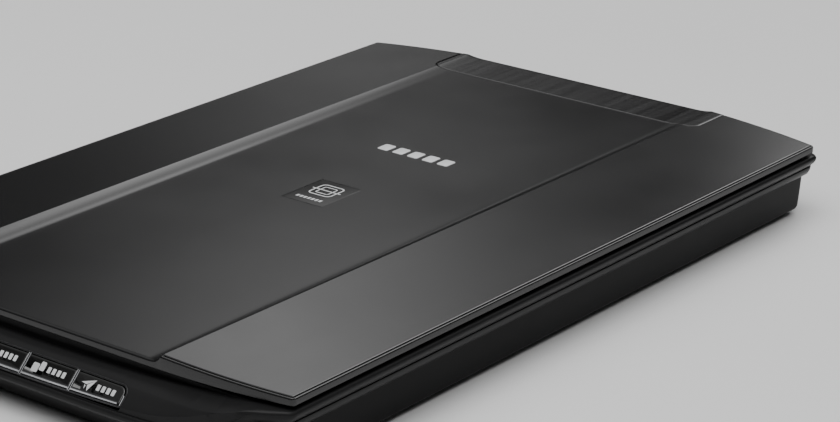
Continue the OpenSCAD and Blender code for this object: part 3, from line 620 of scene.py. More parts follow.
def upper_case():
    rings = [shell_ring(level, nose_profile, j) for j, level in enumerate(RIM)]
    ledge = case_ring(5, 20, 5)
    rings.append([(x, y, PLATE_TOP) for x, y in ledge])
    def sill(grow, z):
        return [(clamp(x, -WIN_X - grow, WIN_X + grow), clamp(y, WIN_FRONT - grow, WIN_REAR + grow), z)
                for x, y in ledge]
    rings += [sill(0.35, PLATE_TOP), sill(0.1, PLATE_TOP - 0.1), sill(0, PLATE_TOP - 0.35), sill(0, LIP_Z)]
    rings += [shell_ring(level, nose_under, j) for j, level in enumerate(UNDER)]
    obj = new_object("upper_case_shell", points_of(rings), loop_faces(rings, closed=True))
    cutter = Parts()
    half = STRIP_HALF + 0.62
    opening = rounded(-half, half, -OPENING_HALF, OPENING_HALF, (1.5, 1.5, 3.9, 3.9))
    cutter.rings([[(x, y, z) for x, y in opening] for z in (-4, 4)], strip_matrix(STRIP_MID))
    cut(obj, cutter.object("strip_opening"))
    cutter = Parts()
    for x in HINGE_X:
        cutter.block((x - 8.3, 176.1, 20), (x + 8.3, 181.7, ABOVE_CASE))
    cutter.block((-REAR_NOTCH_X, 182.2, 26.9), (REAR_NOTCH_X, 200, ABOVE_CASE))
    cut(obj, cutter.object("hinge_openings"))
    bevel(obj, 0.12, 40)
    finish_piece(obj, "base", "rim_plastic", "upper_case", 40)


# ---------- lower case ----------

# Wall of the lower case from its foot up: height, side, front and rear inset, and the flat front's place
LOWER = [
    (2.2, 8.6, 5.6, 4.0, -177.4), (2.32, 8.1, 5.0, 3.5, -177.6), (2.7, 7.6, 4.2, 2.9, -178.0),
    (3.2, 7.3, 3.7, 2.5, -178.4), (3.8, 7.05, 3.35, 2.2, -179.0), (6.0, 6.9, 2.8, 2.0, -180.6),
    (9.0, 6.65, 2.3, 1.9, -183.6), (12.3, 6.4, 1.8, 1.8, -187.0), (15.4, 6.2, 1.5, 1.7, NOT_FLAT),
    (18.4, 6.0, 1.2, 1.6, NOT_FLAT),
]
SEAM_Z, NOSE_SEAM_Z, CASE_FLOOR = 18.4, 12.3, 5.0
SCREW_AT = [(-90, -168.5), (90, -168.5), (-104, 178), (104, 178), (0, 180)]
FOOT_AT = [(-100, -150), (100, -150), (-100, 158), (100, 158)]
BOARD_SCREW_AT = [(-100, -20), (-66, -20), (-100, 140)]
# Rod holders and side ribs: from and to across, from and to fore and aft
RIB_AT = [(-44, -36, -169.5, -165.2), (-44, -36, 175.6, 180.5),
          (108, 110, -163.5, 157.5), (-110, -108, -163.5, 157.5)]
LOCK_RAIL_AT = (-161.4, -149.8)
# Opening in the left wall for the socket: half width and heights
PORT_HALF, PORT_LOW, PORT_HIGH = 4.6, 7.4, 12.9


def lower_level(z, ix, fy, ry, flat):
    """One level of the lower case, held under the seam with the upper case."""
    made = []
    for k, (x, y) in enumerate(case_ring(ix, fy, ry, flat)):
        seam = lerp(SEAM_Z, NOSE_SEAM_Z, nose_share(x)) if k < FRONT_RUN else SEAM_Z
        made.append((x, y, min(z, seam)))
    return made


def lower_case():
    rings = [lower_level(*level) for level in LOWER]
    inner_wall = ((SEAM_Z, -182.5), (NOSE_SEAM_Z, -182.5), (9, -179.5), (CASE_FLOOR + 0.4, -176.2))
    rings += [lower_level(z, 10.2, 5, 4.2, flat) for z, flat in inner_wall]
    rings.append(lower_level(CASE_FLOOR, 10.6, 5.4, 4.6, -175.9))
    shell = loft("lower_case_shell", rings)
    cutter = Parts()
    for p in SCREW_AT:
        cutter.disc(p, 3.0, 1, 6, n=48)
    for p in FOOT_AT:
        cutter.disc(p, 5.6, 1, 4.2, n=64)
    cutter.block((76.2, -158.3, 1), (90.8, -151.7, CASE_FLOOR + 1))
    cut(shell, cutter.object("floor_openings"))
    mid = middle_mm("usb_socket").y
    cutter = Parts()
    cutter.block((-130, mid - PORT_HALF, PORT_LOW), (-110, mid + PORT_HALF, PORT_HIGH))
    cut(shell, cutter.object("socket_opening"))
    bevel(shell, 0.2, 50)
    finish_piece(floor_bosses(), "base", "case_plastic", sharp=35)
    finish_piece(shell, "base", "case_plastic", "lower_case", 35)


def floor_bosses():
    """Bosses, rod holders, side ribs, lock rails and foot seats, sunk a little into the floor."""
    bosses, sunk = Parts(), CASE_FLOOR - 0.5
    for p in SCREW_AT:
        bosses.disc(p, 4.6, sunk, 8, 0.3)
    for x0, x1, y0, y1 in RIB_AT:
        bosses.block((x0, y0, sunk), (x1, y1, 11.6), chamfer=0.25)
    for p in BOARD_SCREW_AT:
        bosses.disc(p, 3, sunk, 6.5, 0.2)
    for y in LOCK_RAIL_AT:
        bosses.block((74, y, sunk), (92, y + 1.2, 7.2), chamfer=0.2)
    for p in FOOT_AT:
        bosses.disc(p, 7, sunk, 6.2, 0.3)
    return bosses.object("floor_bosses")


# ---------- button strip ----------

BUTTON_COUNT = 5
BUTTON_X = [middle_mm("button_%d" % (i + 1)).x for i in range(BUTTON_COUNT)]
PITCH = BUTTON_X[1] - BUTTON_X[0]
STRIP_MID, STRIP_HALF = BUTTON_X[2], 2.5 * PITCH
BUTTON_W, BUTTON_H = PITCH - 1.2, 7.6
STRIP_Y, STRIP_Z, STRIP_TILT = 4.8, 20.2, math.radians(45)
# Trim along a cap's lower edge, in three bands: silver at the edge, then grey and dark, painted shade where
# the bevel's highlight fades towards the cap. Each band: from and to above the edge, height, drop of its
# front corner, look
CAP_TRIM_AND_SHADE = ((-0.1, 0.42, 0.38, 0.12, "trim_silver"), (0.42, 0.8, 0.37, 0, "trim_grey"),
            (0.8, 1.2, 0.345, 0, "trim_shade_dark"))
HINGE_X = (middle_mm("hinge_post_left").x, middle_mm("hinge_post_right").x)


def strip_matrix(x):
    """Place on the strip at x: local X along it, local Y up it, local Z outward."""
    return Matrix.Translation((x, -HALF_D + STRIP_Y, STRIP_Z)) @ Matrix.Rotation(STRIP_TILT, 4, "X")


def strip_rise(x):
    """How far the strip's lower edge rises at x, because the strip narrows towards its ends."""
    return 1.1 * (abs(x - STRIP_MID) / STRIP_HALF) ** 2 - 0.25


def strip_point(x, u, v):
    return strip_matrix(x) @ Vector((0, u + strip_rise(x) * clamp(0.5 - u / BUTTON_H, 0, 1), v))


def path_side(path, k, closed=False):
    """Unit vector to the left of a flat path at its point k."""
    n = len(path)
    a = path[k - 1] if closed or k else path[0]
    b = path[(k + 1) % n] if closed or k < n - 1 else path[-1]
    d = Vector((b[0] - a[0], b[1] - a[1])).normalized()
    return Vector((-d.y, d.x))


def band_faces(rings, closed):
    return loop_faces(rings, True) if closed else capped_faces(rings)


def strip_bar(parts, path, width, v0, v1, closed=False):
    """A bar with eased edges along a path of (x, u) on the strip."""
    rings = []
    c = min(width, v1 - v0) * 0.28
    for k, (x, u) in enumerate(path):
        side = path_side(path, k, closed) * width / 2
        inner = side * (1 - 2 * c / width)
        section = ((-side, v0), (side, v0), (side, v1 - c), (inner, v1), (-inner, v1), (-side, v1 - c))
        rings.append([strip_point(x + step.x, u + step.y, v) for step, v in section])
    parts.add(points_of(rings), band_faces(rings, closed))


def rounded(x0, x1, y0, y1, radii, n=8):
    """Rectangle with a radius for each corner: lower left, lower right, upper right, upper left."""
    corners = [(x0, y0, 1, 1, 180), (x1, y0, -1, 1, 270), (x1, y1, -1, -1, 0), (x0, y1, 1, -1, 90)]
    points = []
    for (x, y, sx, sy, start), r in zip(corners, radii):
        for k in range(n + 1):
            a = math.radians(start + 90 * k / n)
            points.append((x + sx * r + r * math.cos(a), y + sy * r + r * math.sin(a)))
    return points


def dense(path, step=2.0):
    """A closed path with points no further apart than step."""
    made = []
    for a, b in zip(path, path[1:] + path[:1]):
        count = max(1, math.ceil(math.dist(a, b) / step))
        made += [(lerp(a[0], b[0], k / count), lerp(a[1], b[1], k / count)) for k in range(count)]
    return made


def button_bezel():
    def outline(grow, high, radii):
        reach = STRIP_HALF + grow
        return dense(rounded(STRIP_MID - reach, STRIP_MID + reach, -high, high, radii))
    def piece(parts, name, slot, replaces=None, look=None):
        finish_piece(parts.object(name), "base", slot, replaces, 40, look)
    border = Parts()
    strip_bar(border, outline(0.1, 4.4, (1.2, 1.2, 3.4, 3.4)), 0.5, -1.6, 0.14, True)
    piece(border, "button_frame", "bezel_plastic", "button_bezel")
    trim, reach = Parts(), STRIP_HALF - 1.5
    strip_bar(trim, outline(0.5, 4.78, (1.4, 1.4, 3.8, 3.8)), 0.14, -0.6, 0.1, True)
    strip_bar(trim, [(STRIP_MID + lerp(-reach, reach, k / 80), -4.55) for k in range(81)], 0.16, -0.4, 0.3)
    piece(trim, "button_outline", "bezel_plastic", look="trim_grey")
    lines, walls = Parts(), Parts()
    def upright(x):
        return [(x, -4.5 + 1.1 * k) for k in range(9)]
    for left, right in zip(BUTTON_X, BUTTON_X[1:]):
        x = (left + right) / 2
        strip_bar(walls, upright(x), 1.04, -1.5, 0.3)
        strip_bar(lines, upright(x - 0.42), 0.19, 0.2, 0.4)
        strip_bar(lines, upright(x + 0.42), 0.19, 0.2, 0.4)
    piece(walls, "button_walls", "bezel_plastic")
    end = STRIP_MID + STRIP_HALF - 0.02
    strip_bar(lines, [(end - 0.12 * max(0, k - 6) ** 1.5, -4.1 + 0.55 * k) for k in range(9)], 0.26, 0.0, 0.4)
    piece(lines, "button_lines", "mark_silver", look="trim_silver")


def icon_shapes(index):
    """Generic pictograms in strip millimetres: outlines as lists of points."""
    def box(x0, x1, y0, y1):
        return [(x0, y0), (x1, y0), (x1, y1), (x0, y1)]
    def border(x0, x1, y0, y1, w):
        return [box(x0, x1, y0, y0 + w), box(x0, x1, y1 - w, y1),
                box(x0, x0 + w, y0 + w, y1 - w), box(x1 - w, x1, y0 + w, y1 - w)]
    def line(x0, x1, y):
        return box(x0, x1, y, y + 0.5)
    page = border(-8.0, -3.6, -2.2, 2.6, 0.5) + [line(-7.0, -4.6, y) for y in (-1.1, 0)]
    text = border(-7.6, -3.8, -2.2, 2.6, 0.5) + [line(-6.8, -4.6, y) for y in (-1.2, -0.1, 1)]
    scan = border(-8.2, -3.2, -1.8, 2.2, 0.55) + [line(-8.8, -2.6, 0)]
    copy = [rounded(-8.4, -5.3, -2.1, 1.5, (0.5,) * 4, 4),
            rounded(-4.9, -2.4, -0.9, 2.7, (0.5, 0.5, 0.9, 0.5), 4)]
    send = [[(-8.6, 0.5), (-2.2, 2.7), (-5.9, 0.1)], [(-5.5, -0.1), (-2.2, 2.7), (-4.6, -2.3)],
            [(-6.7, -0.2), (-6.0, -0.4), (-6.2, -1.9)]]
    return (page, text, scan, copy, send)[index]


def button(i):
    """A key cap, the trim along its lower edge with painted shade fading up from its silver edge, and its
    pictogram beside four bars.
    """
    x, number = BUTTON_X[i], i + 1
    place, body = strip_matrix(x), "key_%d" % number
    first, last = i == 0, i == BUTTON_COUNT - 1
    w, h = BUTTON_W / 2, BUTTON_H / 2
    radii = (0.9 if first else 0.4, 0.9 if last else 0.4, 3.0 if last else 0.35, 3.0 if first else 0.35)
    def fit(px, py, z):
        return px, py + strip_rise(x + px) * (0.5 - py / BUTTON_H), z
    def ring(inset, z):
        outline = rounded(-w + inset, w - inset, -h + inset, h - inset, [max(0.12, r - inset) for r in radii])
        return [fit(px, py, z) for px, py in dense(outline, 3)]
    cap = Parts()
    levels = ((0, -1.4), (0, 0.1), (0.06, 0.19), (0.16, 0.26), (0.32, 0.29), (0.9, 0.3))
    cap.rings([ring(inset, z) for inset, z in levels], place)
    cap.block((-4, -1.5, -5.9), (4, 1.5, -1.2), place, 0.15)
    finish_piece(cap.object("cap_%d" % number), body, "button_plastic", "button_%d" % number)
    x0, x1 = -w + (0.9 if first else 0.08), w - (0.9 if last else 0.08)
    # Bands two and three are painted shade, darker greys of the trim going up towards the cap.
    for band, (low, high, z, drop, look) in enumerate(CAP_TRIM_AND_SHADE):
        section = ((low, 0.0), (low, z - drop), (low + 0.1, z), (high, z), (high, 0.1))
        trim = Parts()
        trim.rings([[fit(lerp(x0, x1, k / 12), -h + u, v) for u, v in section] for k in range(13)], place)
        finish_piece(trim.object("cap_trim_%d_%d" % (number, band + 1)), body, "mark_silver", None, 50, look)
    marks = Parts()
    bars = [rounded(-0.9 + 2.45 * k, 0.7 + 2.45 * k, -0.9, 1.5, (0.3,) * 4, 3) for k in range(4)]
    for outline in icon_shapes(i) + bars:
        marks.rings([[(px, py, z) for px, py in outline] for z in (0.25, 0.36)], place)
    finish_piece(marks.object("cap_icon_%d" % number), body, "mark_silver", sharp=50)


# ---------- lid ----------

LID_HW, LID_FRONT, LID_REAR, LID_BOW = LID_HIGH.x, LID_LOW.y, LID_HIGH.y, 6.0
LID_Z, WING_HIGH, WING_LOW, SKIN = LID_LOW.z, LID_HIGH.z, 33.5, 1.8
SLOPE_L, STEP_R, CORNER = (-71.0, -62.0), (58.0, 66.3), 1.6
# Depth of the centre panel, and how sharply its right step turns down, at the front and at the rear
TROUGH_FRONT, TROUGH_REAR = 2.7, 0.85
TURN_FRONT, TURN_REAR = 4.2, 2.0
PANEL_TILT = math.atan((TROUGH_FRONT - TROUGH_REAR) / (LID_REAR - LID_FRONT))
# Half width over which the lid's ends are straight
BOW_START = 55
COVER_LOW, COVER_HIGH = box_mm("hinge_cover")


def lid_fall(x):
    return LID_BOW * (max(0, abs(x) - BOW_START) / (LID_HW - BOW_START)) ** 2.4


def corner_fall(x):
    over = abs(x) - (LID_HW - CORNER)
    return CORNER - math.sqrt(max(0, CORNER ** 2 - over ** 2)) if over > 0 else 0


def lid_y0(x):
    return LID_FRONT + lid_fall(x) + corner_fall(x)


def lid_y1(x):
    return LID_REAR - lid_fall(x) - corner_fall(x)


def trough_share(x, turn=3.6):
    """1 over the centre panel, 0 over the wings: a soft slope at the left, a crisp step at the right."""
    if x <= SLOPE_L[0] or x >= STEP_R[1]:
        return 0.0
    if x < SLOPE_L[1]:
        return 1 - ((SLOPE_L[1] - x) / (SLOPE_L[1] - SLOPE_L[0])) ** 2
    if x > STEP_R[0]:
        return 1 - ((x - STEP_R[0]) / (STEP_R[1] - STEP_R[0])) ** turn
    return 1.0


def lid_top(x, y):
    along = (y - LID_FRONT) / (LID_REAR - LID_FRONT)
    inner = STEP_R[1] if x > 0 else -SLOPE_L[0]
    wing = WING_HIGH - (WING_HIGH - WING_LOW) * max(0, abs(x) - inner) / (LID_HW - 1.2 - inner)
    turn = lerp(TURN_FRONT, TURN_REAR, clamp(along, 0, 1))
    return wing - lerp(TROUGH_FRONT, TROUGH_REAR, along) * trough_share(x, turn)


# Drop of the lid's top at a distance from its edge, with a groove round the wings, and the mesh rows there
WING_EDGE = [(0, 1.0), (0.1, 0.66), (0.25, 0.42), (0.5, 0.3), (0.75, 0.3), (0.9, 0.42), (1.0, 0.66),
             (1.3, 0.66), (1.4, 0.12), (1.7, 0)]
PANEL_EDGE = [(0, 1.0), (0.12, 0.62), (0.3, 0.36), (0.6, 0.16), (1.0, 0.04), (1.5, 0)]
EDGE_STEPS = [0, 0.1, 0.25, 0.5, 0.75, 0.9, 1.0, 1.3, 1.4, 1.75, 1.85, 2.4]


def edge_drop(x, d):
    share = trough_share(x)
    return lerp(table(WING_EDGE, d), table(PANEL_EDGE, d), min(1, share * 2.5))


def slab(name, xs, y0, y1, rows, middle, top, bottom):
    """Closed solid over columns xs between y0(x) and y1(x): rows are distances from both ends.

    top and bottom give a height from x, y and the distance to the nearer end.
    """
    verts, n = [], 2 * len(rows) + middle
    for x in xs:
        a, b = y0(x), y1(x)
        column = [a + d for d in rows]
        start, end = a + rows[-1], b - rows[-1]
        column += [lerp(start, end, (k + 1) / (middle + 1)) for k in range(middle)]
        column += [b - d for d in reversed(rows)]
        for y in column:
            verts.append((x, y, top(x, y, min(y - a, b - y))))
    for i, x in enumerate(xs):
        for j in range(n):
            px, py, _ = verts[i * n + j]
            verts.append((px, py, bottom(px, py, min(py - y0(x), y1(x) - py))))
    m, half = len(xs), len(xs) * n
    faces = []
    for i in range(m - 1):
        for j in range(n - 1):
            a = i * n + j
            faces.append((a, a + n, a + n + 1, a + 1))
            faces.append((half + a, half + a + 1, half + a + n + 1, half + a + n))
    rim = [i * n for i in range(m)] + [(m - 1) * n + j for j in range(1, n)]
    rim += [i * n + n - 1 for i in range(m - 2, -1, -1)] + [j for j in range(n - 2, 0, -1)]
    for a, b in zip(rim, rim[1:] + rim[:1]):
        faces.append((a, half + a, half + b, b))
    return new_object(name, verts, faces)


def lid_columns():
    outer = [LID_HW - d for d in EDGE_STEPS]
    outer += [LID_HW - CORNER + CORNER * math.sin(math.radians(a)) for a in (0, 10, 20)]
    xs = set(outer) | {-v for v in outer}
    xs |= {SLOPE_L[0] + k * 0.5 for k in range(19)} | {STEP_R[0] + k * 0.5 for k in range(17)}
    xs |= {SLOPE_L[0] - 0.3, SLOPE_L[0] + 0.15, STEP_R[1] - 0.15, STEP_R[1], STEP_R[1] + 0.3}
    xs |= {x for x in range(-110, 111, 4) if not -72 < x < -61.5 and not 57.5 < x < 67}
    xs |= {side * x for side in (-1, 1) for x in (112.5, 115, 117, 118.5)}
    made = []
    for x in sorted(xs):
        if not made or x - made[-1] > 0.02:
            made.append(round(x, 4))
    return made


def lid_top_edged(x, y, d):
    return lid_top(x, y) - edge_drop(x, min(d, LID_HW - abs(x)))


def lid_under(x, y, d):
    d = min(d, LID_HW - abs(x))
    if d < 1.8:
        return LID_Z + 0.3 * (1 - min(1, d / 0.25))
    return lid_top(x, y) - SKIN


COVER_R = 6.0
COVER_EDGE = [(0, 0.6), (0.12, 0.36), (0.3, 0.2), (0.6, 0.05), (1.0, 0)]


def cover_y0(x):
    r = COVER_R
    over = max(COVER_LOW.x + r - x, x - (COVER_HIGH.x - r), 0)
    return COVER_LOW.y + r - math.sqrt(max(0, r * r - over * over))


def cover_columns(grow):
    x0, x1, r = COVER_LOW.x - grow, COVER_HIGH.x + grow, COVER_R
    ends = [0, 0.12, 0.3, 0.6, 1.0] + [r - r * math.sin(math.radians(a)) for a in (0, 12, 24, 36, 48)]
    xs = {x0 + d for d in ends} | {x1 - d for d in ends}
    xs |= {SLOPE_L[0] + k * 0.75 for k in range(13)} | {STEP_R[0] + k * 0.83 for k in range(10)} | {STEP_R[1]}
    xs |= {float(v) for v in range(-60, 57, 6)}
    return sorted(round(v, 4) for v in xs)


def lid_shell():
    obj = slab("lid_body", lid_columns(), lid_y0, lid_y1, EDGE_STEPS, 60, lid_top_edged, lid_under)
    grow = 0.45
    def recess_y0(x):
        return cover_y0(clamp(x, COVER_LOW.x, COVER_HIGH.x)) - grow
    cut(obj, slab("cover_recess", cover_columns(grow), recess_y0, lambda x: LID_REAR + 4, [0, 0.5, 1, 2], 12,
                  lambda x, y, d: ABOVE_LID, lambda x, y, d: lid_top(x, y) - 1.3))
    pockets = Parts()
    for x in HINGE_X:
        pockets.block((x - 8.4, 175, LID_Z - 2), (x + 8.4, 192, 33.75))
    cut(obj, pockets.object("hinge_pockets"))
    recess = Parts()
    low, high = box_mm("lid_badge")
    recess.block((low.x - 0.12, low.y - 0.12, low.z - 0.05), (high.x + 0.12, high.y + 0.12, ABOVE_LID))
    cut(obj, recess.object("badge_recess"))
    finish_piece(obj, "lid", "lid_plastic", "lid_shell", 24)


def hinge_cover():
    def top(x, y, d):
        rear = lid_y1(x) - y
        drop = table(COVER_EDGE, min(x - COVER_LOW.x, COVER_HIGH.x - x, y - cover_y0(x)))
        return lid_top(x, y) - max(drop, edge_drop(0, rear) if rear < 1.5 else 0)
    obj = slab("hinge_cover_body", cover_columns(0), cover_y0, lid_y1, [0, 0.12, 0.3, 0.6, 1.0, 1.5], 10, top,
               lambda x, y, d: lid_top(x, y) - 1.25)
    finish_piece(obj, "lid", "cover_plastic", "hinge_cover", 24)


def lid_seat(node):
    """Half width and half depth of a mark on the lid, and its place on the sloping panel."""
    low, high = box_mm(node)
    x, y, _ = middle_mm(node)
    place = Matrix.Translation((x, y, lid_top(x, y))) @ Matrix.Rotation(PANEL_TILT, 4, "X")
    return (high.x - low.x) / 2, (high.y - low.y) / 2, place


def flat_ring(x0, x1, y0, y1, radius, z, n):
    return [(x, y, z) for x, y in rounded(x0, x1, y0, y1, (radius,) * 4, n)]


def lid_badge():
    """A square plate with an abstract link shape over a row of bars."""
    w, h, place = lid_seat("lid_badge")
    badge = Parts()
    badge.rings([flat_ring(-w + i, w - i, -h + i, h - i, 0.5, z, 4)
                 for i, z in ((0, -0.4), (0, -0.06), (0.1, 0.02), (0.3, 0.05))], place)
    finish_piece(badge.object("badge_plate"), "lid", "badge_plastic", "lid_badge")
    icon, low, high = Parts(), 0.03, 0.1
    def band(path, width, closed=True):
        rings = []
        for k, p in enumerate(path):
            side = path_side(path, k, closed) * width / 2
            inner, outer = (p[0] - side.x, p[1] - side.y), (p[0] + side.x, p[1] + side.y)
            rings.append([(*inner, low), (*outer, low), (*outer, high), (*inner, high)])
        icon.add([place @ Vector(q) for q in points_of(rings)], band_faces(rings, closed))
    band(rounded(-5.6, 5.6, -2.6, 8.8, (2.0,) * 4, 5), 0.7)
    band(rounded(-3.2, 3.2, -0.4, 6.6, (0.8,) * 4, 5), 0.55)
    band([(-7.4 + 0.74 * k, 3.1) for k in range(21)], 0.7, closed=False)
    for k in range(7):
        icon.block((-6.8 + 2.0 * k, -9.0, low), (-5.5 + 2.0 * k, -7.0, high), place)
    finish_piece(icon.object("badge_icon"), "lid", "mark_silver", sharp=40)


def lid_bars():
    """A row of plain tabs in place of the lettering."""
    half, tall, place = lid_seat("lid_mark")
    count, filled = 5, 0.7
    pitch = 2 * half / (count - 1 + filled)
    bars = Parts()
    for k in range(count):
        x0 = -half + pitch * k
        x1 = x0 + pitch * filled
        bars.rings([flat_ring(x0 + i, x1 - i, -tall + i, tall - i, 1.0, z, 5)
                    for i, z in ((0, -0.2), (0, 0.08), (0.12, 0.2), (0.4, 0.24))], place)
    finish_piece(bars.object("lid_bars"), "lid", "mark_silver", "lid_mark")


def page_solid(name, low, high, radius, levels):
    """A slab with rounded corners inside a box; levels are (inset, height)."""
    def ring(i, z):
        outline = rounded(low.x + i, high.x - i, low.y + i, high.y - i, (radius,) * 4)
        return [(x, y, z) for x, y in dense(outline, 12)]
    return loft(name, [ring(i, z) for i, z in levels])


def document_pad():
    """Foam pad with a white film face: both have rounded corners, and their edges are eased."""
    low, high = box_mm("pad_foam")
    pad = page_solid("document_pad", low, high, 5.0, (
        (0.9, low.z), (0.35, low.z + 0.3), (0.05, low.z + 0.9), (0, lerp(low.z, high.z, 0.5)),
        (0.1, high.z - 0.6), (0.5, high.z - 0.1), (0.9, high.z)))
    finish_piece(pad, "lid", "foam", "pad_foam", 40)
    low, high = box_mm("pad_sheet")
    film = page_solid("pad_film", low, high, 4.5, (
        (0.2, low.z), (0.03, low.z + 0.12), (0, high.z - 0.15), (0.15, high.z)))
    finish_piece(film, "lid", "sheet_white", "pad_sheet", 40)


# ---------- springs and ribbon ----------

def float_springs():
    """Two coils that press the sensor up; a coil's rings are a little closer together at its ends."""
    low, high = box_mm("float_springs")
    radius, wire, turns, turn_steps = 1.85, 0.28, 5, 24
    steps = turns * turn_steps
    y = (low.y + high.y) / 2
    section, up = [math.pi / 4 * q for q in range(8)], Vector((0, 0, 1))
    for side, x in (("left", low.x + 2.2), ("right", high.x - 2.2)):
        rings = []
        for k in range(steps + 1):
            a = 2 * math.pi * k / turn_steps
            z = lerp(low.z + wire, high.z - wire, ease(0, 1, k / steps) * 0.25 + 0.75 * k / steps)
            out = Vector((math.cos(a), math.sin(a), 0))
            centre = Vector((x, y, z)) + out * radius
            rings.append([centre + (out * math.cos(b) + up * math.sin(b)) * wire for b in section])
        spring = loft("spring_" + side, rings)
        finish_piece(spring, "carriage", "steel_part", "float_springs", 60)
        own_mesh(spring)


def scan_ribbon():
    """Flat sensor cable: a lower run on the floor, a fold, and an upper run back to the carriage."""
    low, high = box_mm("scan_ribbon")
    x0, x1, thick = low.x, high.x, 0.15
    floor_z, flat_y, fold_y, fold_r, carriage_y = 5.4, 7, 18.0, 3.1, -142.7
    def band(name, path):
        rings = []
        for k, p in enumerate(path):
            side = path_side(path, k) * thick / 2
            up, down = (p[0] + side.x, p[1] + side.y), (p[0] - side.x, p[1] - side.y)
            rings.append([(x0, *up), (x1, *up), (x1, *down), (x0, *down)])
        obj = loft(name, rings)
        finish_piece(obj, None, "ribbon_white", "scan_ribbon", 40)
        return obj
    lower = [(-4.4, 9.0), (-2, 9.0), (-0.5, 8.6), (1, 7.8), (4, 5.9), (5.5, 5.5), (flat_y, floor_z)]
    lower += [(lerp(flat_y, fold_y, k / 10), floor_z) for k in range(1, 11)]
    turns = [math.pi * (k / 20 - 0.5) for k in range(21)]
    arc = [(fold_y + fold_r * math.cos(a), floor_z + fold_r + fold_r * math.sin(a)) for a in turns]
    upper = [(lerp(fold_y, carriage_y, k / 40), floor_z + 2 * fold_r) for k in range(41)]
    def at(y):
        return (lerp(x0, x1, 0.5) * MM, y * MM, floor_z * MM)
    def run(name, path, y0, y1):
        obj = band(name, path)
        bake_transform(obj)
        share = [clamp((v.co.y / MM - y0) / (y1 - y0), 0, 1) for v in obj.data.vertices]
    run("ribbon_lower", lower, flat_y, 2 * fold_y - flat_y)
    run("ribbon_upper", upper, 2 * fold_y - carriage_y, carriage_y)
    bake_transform(band("ribbon_fold", arc))


# ---------- build ----------

dress_cad_nodes()
upper_case()
lower_case()
button_bezel()
for index in range(BUTTON_COUNT):
    button(index)
lid_shell()
hinge_cover()
lid_badge()
lid_bars()
document_pad()
float_springs()
scan_ribbon()


# ---------- studio ----------

def floor():
    """A pale mat 40 m across, as a grid."""
    size, n = 40.0, 40
    steps = [size * (i / n - 0.5) / MM for i in range(n + 1)]
    starts = [i * (n + 1) + j for i in range(n) for j in range(n)]
    obj = new_object("studio_floor", [(x, y, 0) for x in steps for y in steps],
                     [(a, a + n + 1, a + n + 2, a + 1) for a in starts])
    m = Nodes("studio_floor")
    fine = m.noise(3.0, 2.0)
    m.colour(m.ramp(fine, [(0.3, (0.8, 0.8, 0.8)), (0.7, (0.82, 0.82, 0.82))]))
    m.rough(m.span(fine, 0.6, 0.7))
    obj.data.materials.append(m.mat)


def top_lamp():
    """One square lamp above and in front, aimed at the middle of the case."""
    data = bpy.data.lights.new("top", "AREA")
    data.shape, data.size, data.size_y = "RECTANGLE", 2.0, 2.0
    data.energy = 38
    obj = bpy.data.objects.new("top", data)
    bpy.context.scene.collection.objects.link(obj)
    obj.location = (0.3, -0.9, 2.2)
    obj.rotation_euler = (-obj.location).to_track_quat("-Z", "Y").to_euler()


# Brightness of the surroundings by direction, as (elevation in degrees, brightness) stops. The three soft
# glows also have an azimuth, from +Y towards -X, and a width, both in degrees
TALL_GLOW = (39.8, 5.0, (
    (0, 0), (10.5, 0), (12.6, 0.34), (13.6, 0.34), (16.5, 0.015), (20, 0.03), (21.5, 0.1), (22.6, 0.23),
    (24, 0.54), (25.5, 0.9), (28, 1.0), (36, 0.5), (50, 0)))
SMALL_GLOW = (27.0, 1.6, ((18, 0), (20, 1.05), (23, 1.05), (26, 0)))
SIDE_GLOW = (8.0, 20.0, ((27, 0), (29.5, 0.5), (32, 1.0), (46, 1.0), (54, 0)))
SIDE_POWER = 2.1
ROOM = ((0, 0.006), (28, 0.01), (45, 0.2), (60, 0.5), (90, 0.6))
WORLD_POWER = 2


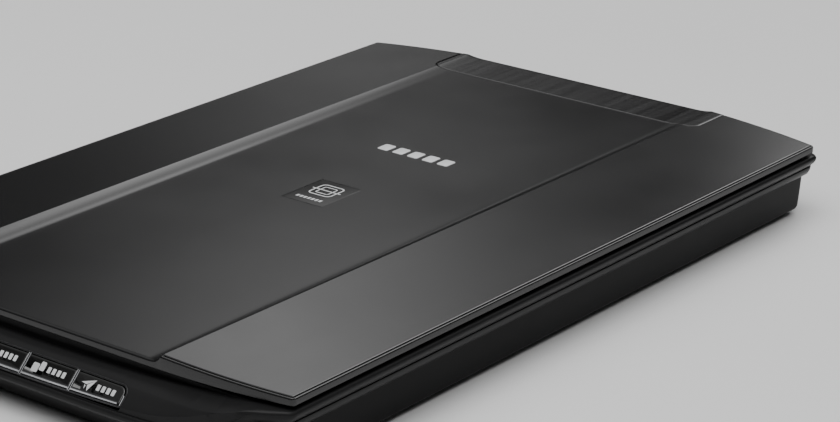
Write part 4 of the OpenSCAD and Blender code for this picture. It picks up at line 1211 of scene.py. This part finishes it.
def surroundings():
    """World light that depends on direction alone."""
    world = bpy.data.worlds.new("studio")
    bpy.context.scene.world = world
    world.use_nodes = True
    tree = world.node_tree
    background = tree.nodes["Background"]
    coord = tree.nodes.new("ShaderNodeTexCoord").outputs["Generated"]
    split = tree.nodes.new("ShaderNodeSeparateXYZ")
    tree.links.new(coord, split.inputs[0])
    def maths(kind, left, right):
        node = tree.nodes.new("ShaderNodeMath")
        node.operation = kind
        for socket, value in zip(node.inputs, (left, right)):
            if isinstance(value, (int, float)):
                socket.default_value = value
            else:
                tree.links.new(value, socket)
        return node.outputs[0]
    def by_height(stops):
        return colour_ramp(tree, split.outputs[2], [(math.sin(math.radians(a)), (v, v, v)) for a, v in stops])
    around = maths("ARCTAN2", maths("MULTIPLY", split.outputs[0], -1), split.outputs[1])
    def glow(azimuth, width, stops):
        away = maths("DIVIDE", maths("SUBTRACT", around, math.radians(azimuth)), math.radians(width))
        share = maths("EXPONENT", maths("MULTIPLY", maths("MULTIPLY", away, away), -1), 0)
        return maths("MULTIPLY", share, by_height(stops))
    ahead = maths("ADD", glow(*TALL_GLOW), glow(*SMALL_GLOW))
    rest = maths("ADD", by_height(ROOM), maths("MULTIPLY", glow(*SIDE_GLOW), SIDE_POWER))
    tree.links.new(maths("MULTIPLY", maths("ADD", ahead, rest), WORLD_POWER), background.inputs[1])
    background.inputs[0].default_value = (1, 1, 1, 1)


def camera():
    """The photograph's view."""
    azimuth, elevation, roll = math.radians(37.92), math.radians(20.21), math.radians(0.569)
    target, distance = Vector((0.04136, 0.00598, 0.0335)), 1.128
    level = math.cos(elevation)
    back = Vector((math.sin(azimuth) * level, -math.cos(azimuth) * level, math.sin(elevation)))
    data = bpy.data.cameras.new("camera")
    data.sensor_width, data.lens = 36.0, 118.7
    data.clip_start, data.clip_end = 0.05, 50
    obj = bpy.data.objects.new("camera", data)
    bpy.context.scene.collection.objects.link(obj)
    turn = (-back).to_track_quat("-Z", "Y").to_matrix() @ Matrix.Rotation(roll, 3, "Z")
    obj.matrix_world = Matrix.Translation(target + back * distance) @ turn.to_4x4()
    bpy.context.scene.camera = obj


floor()
surroundings()
top_lamp()
camera()
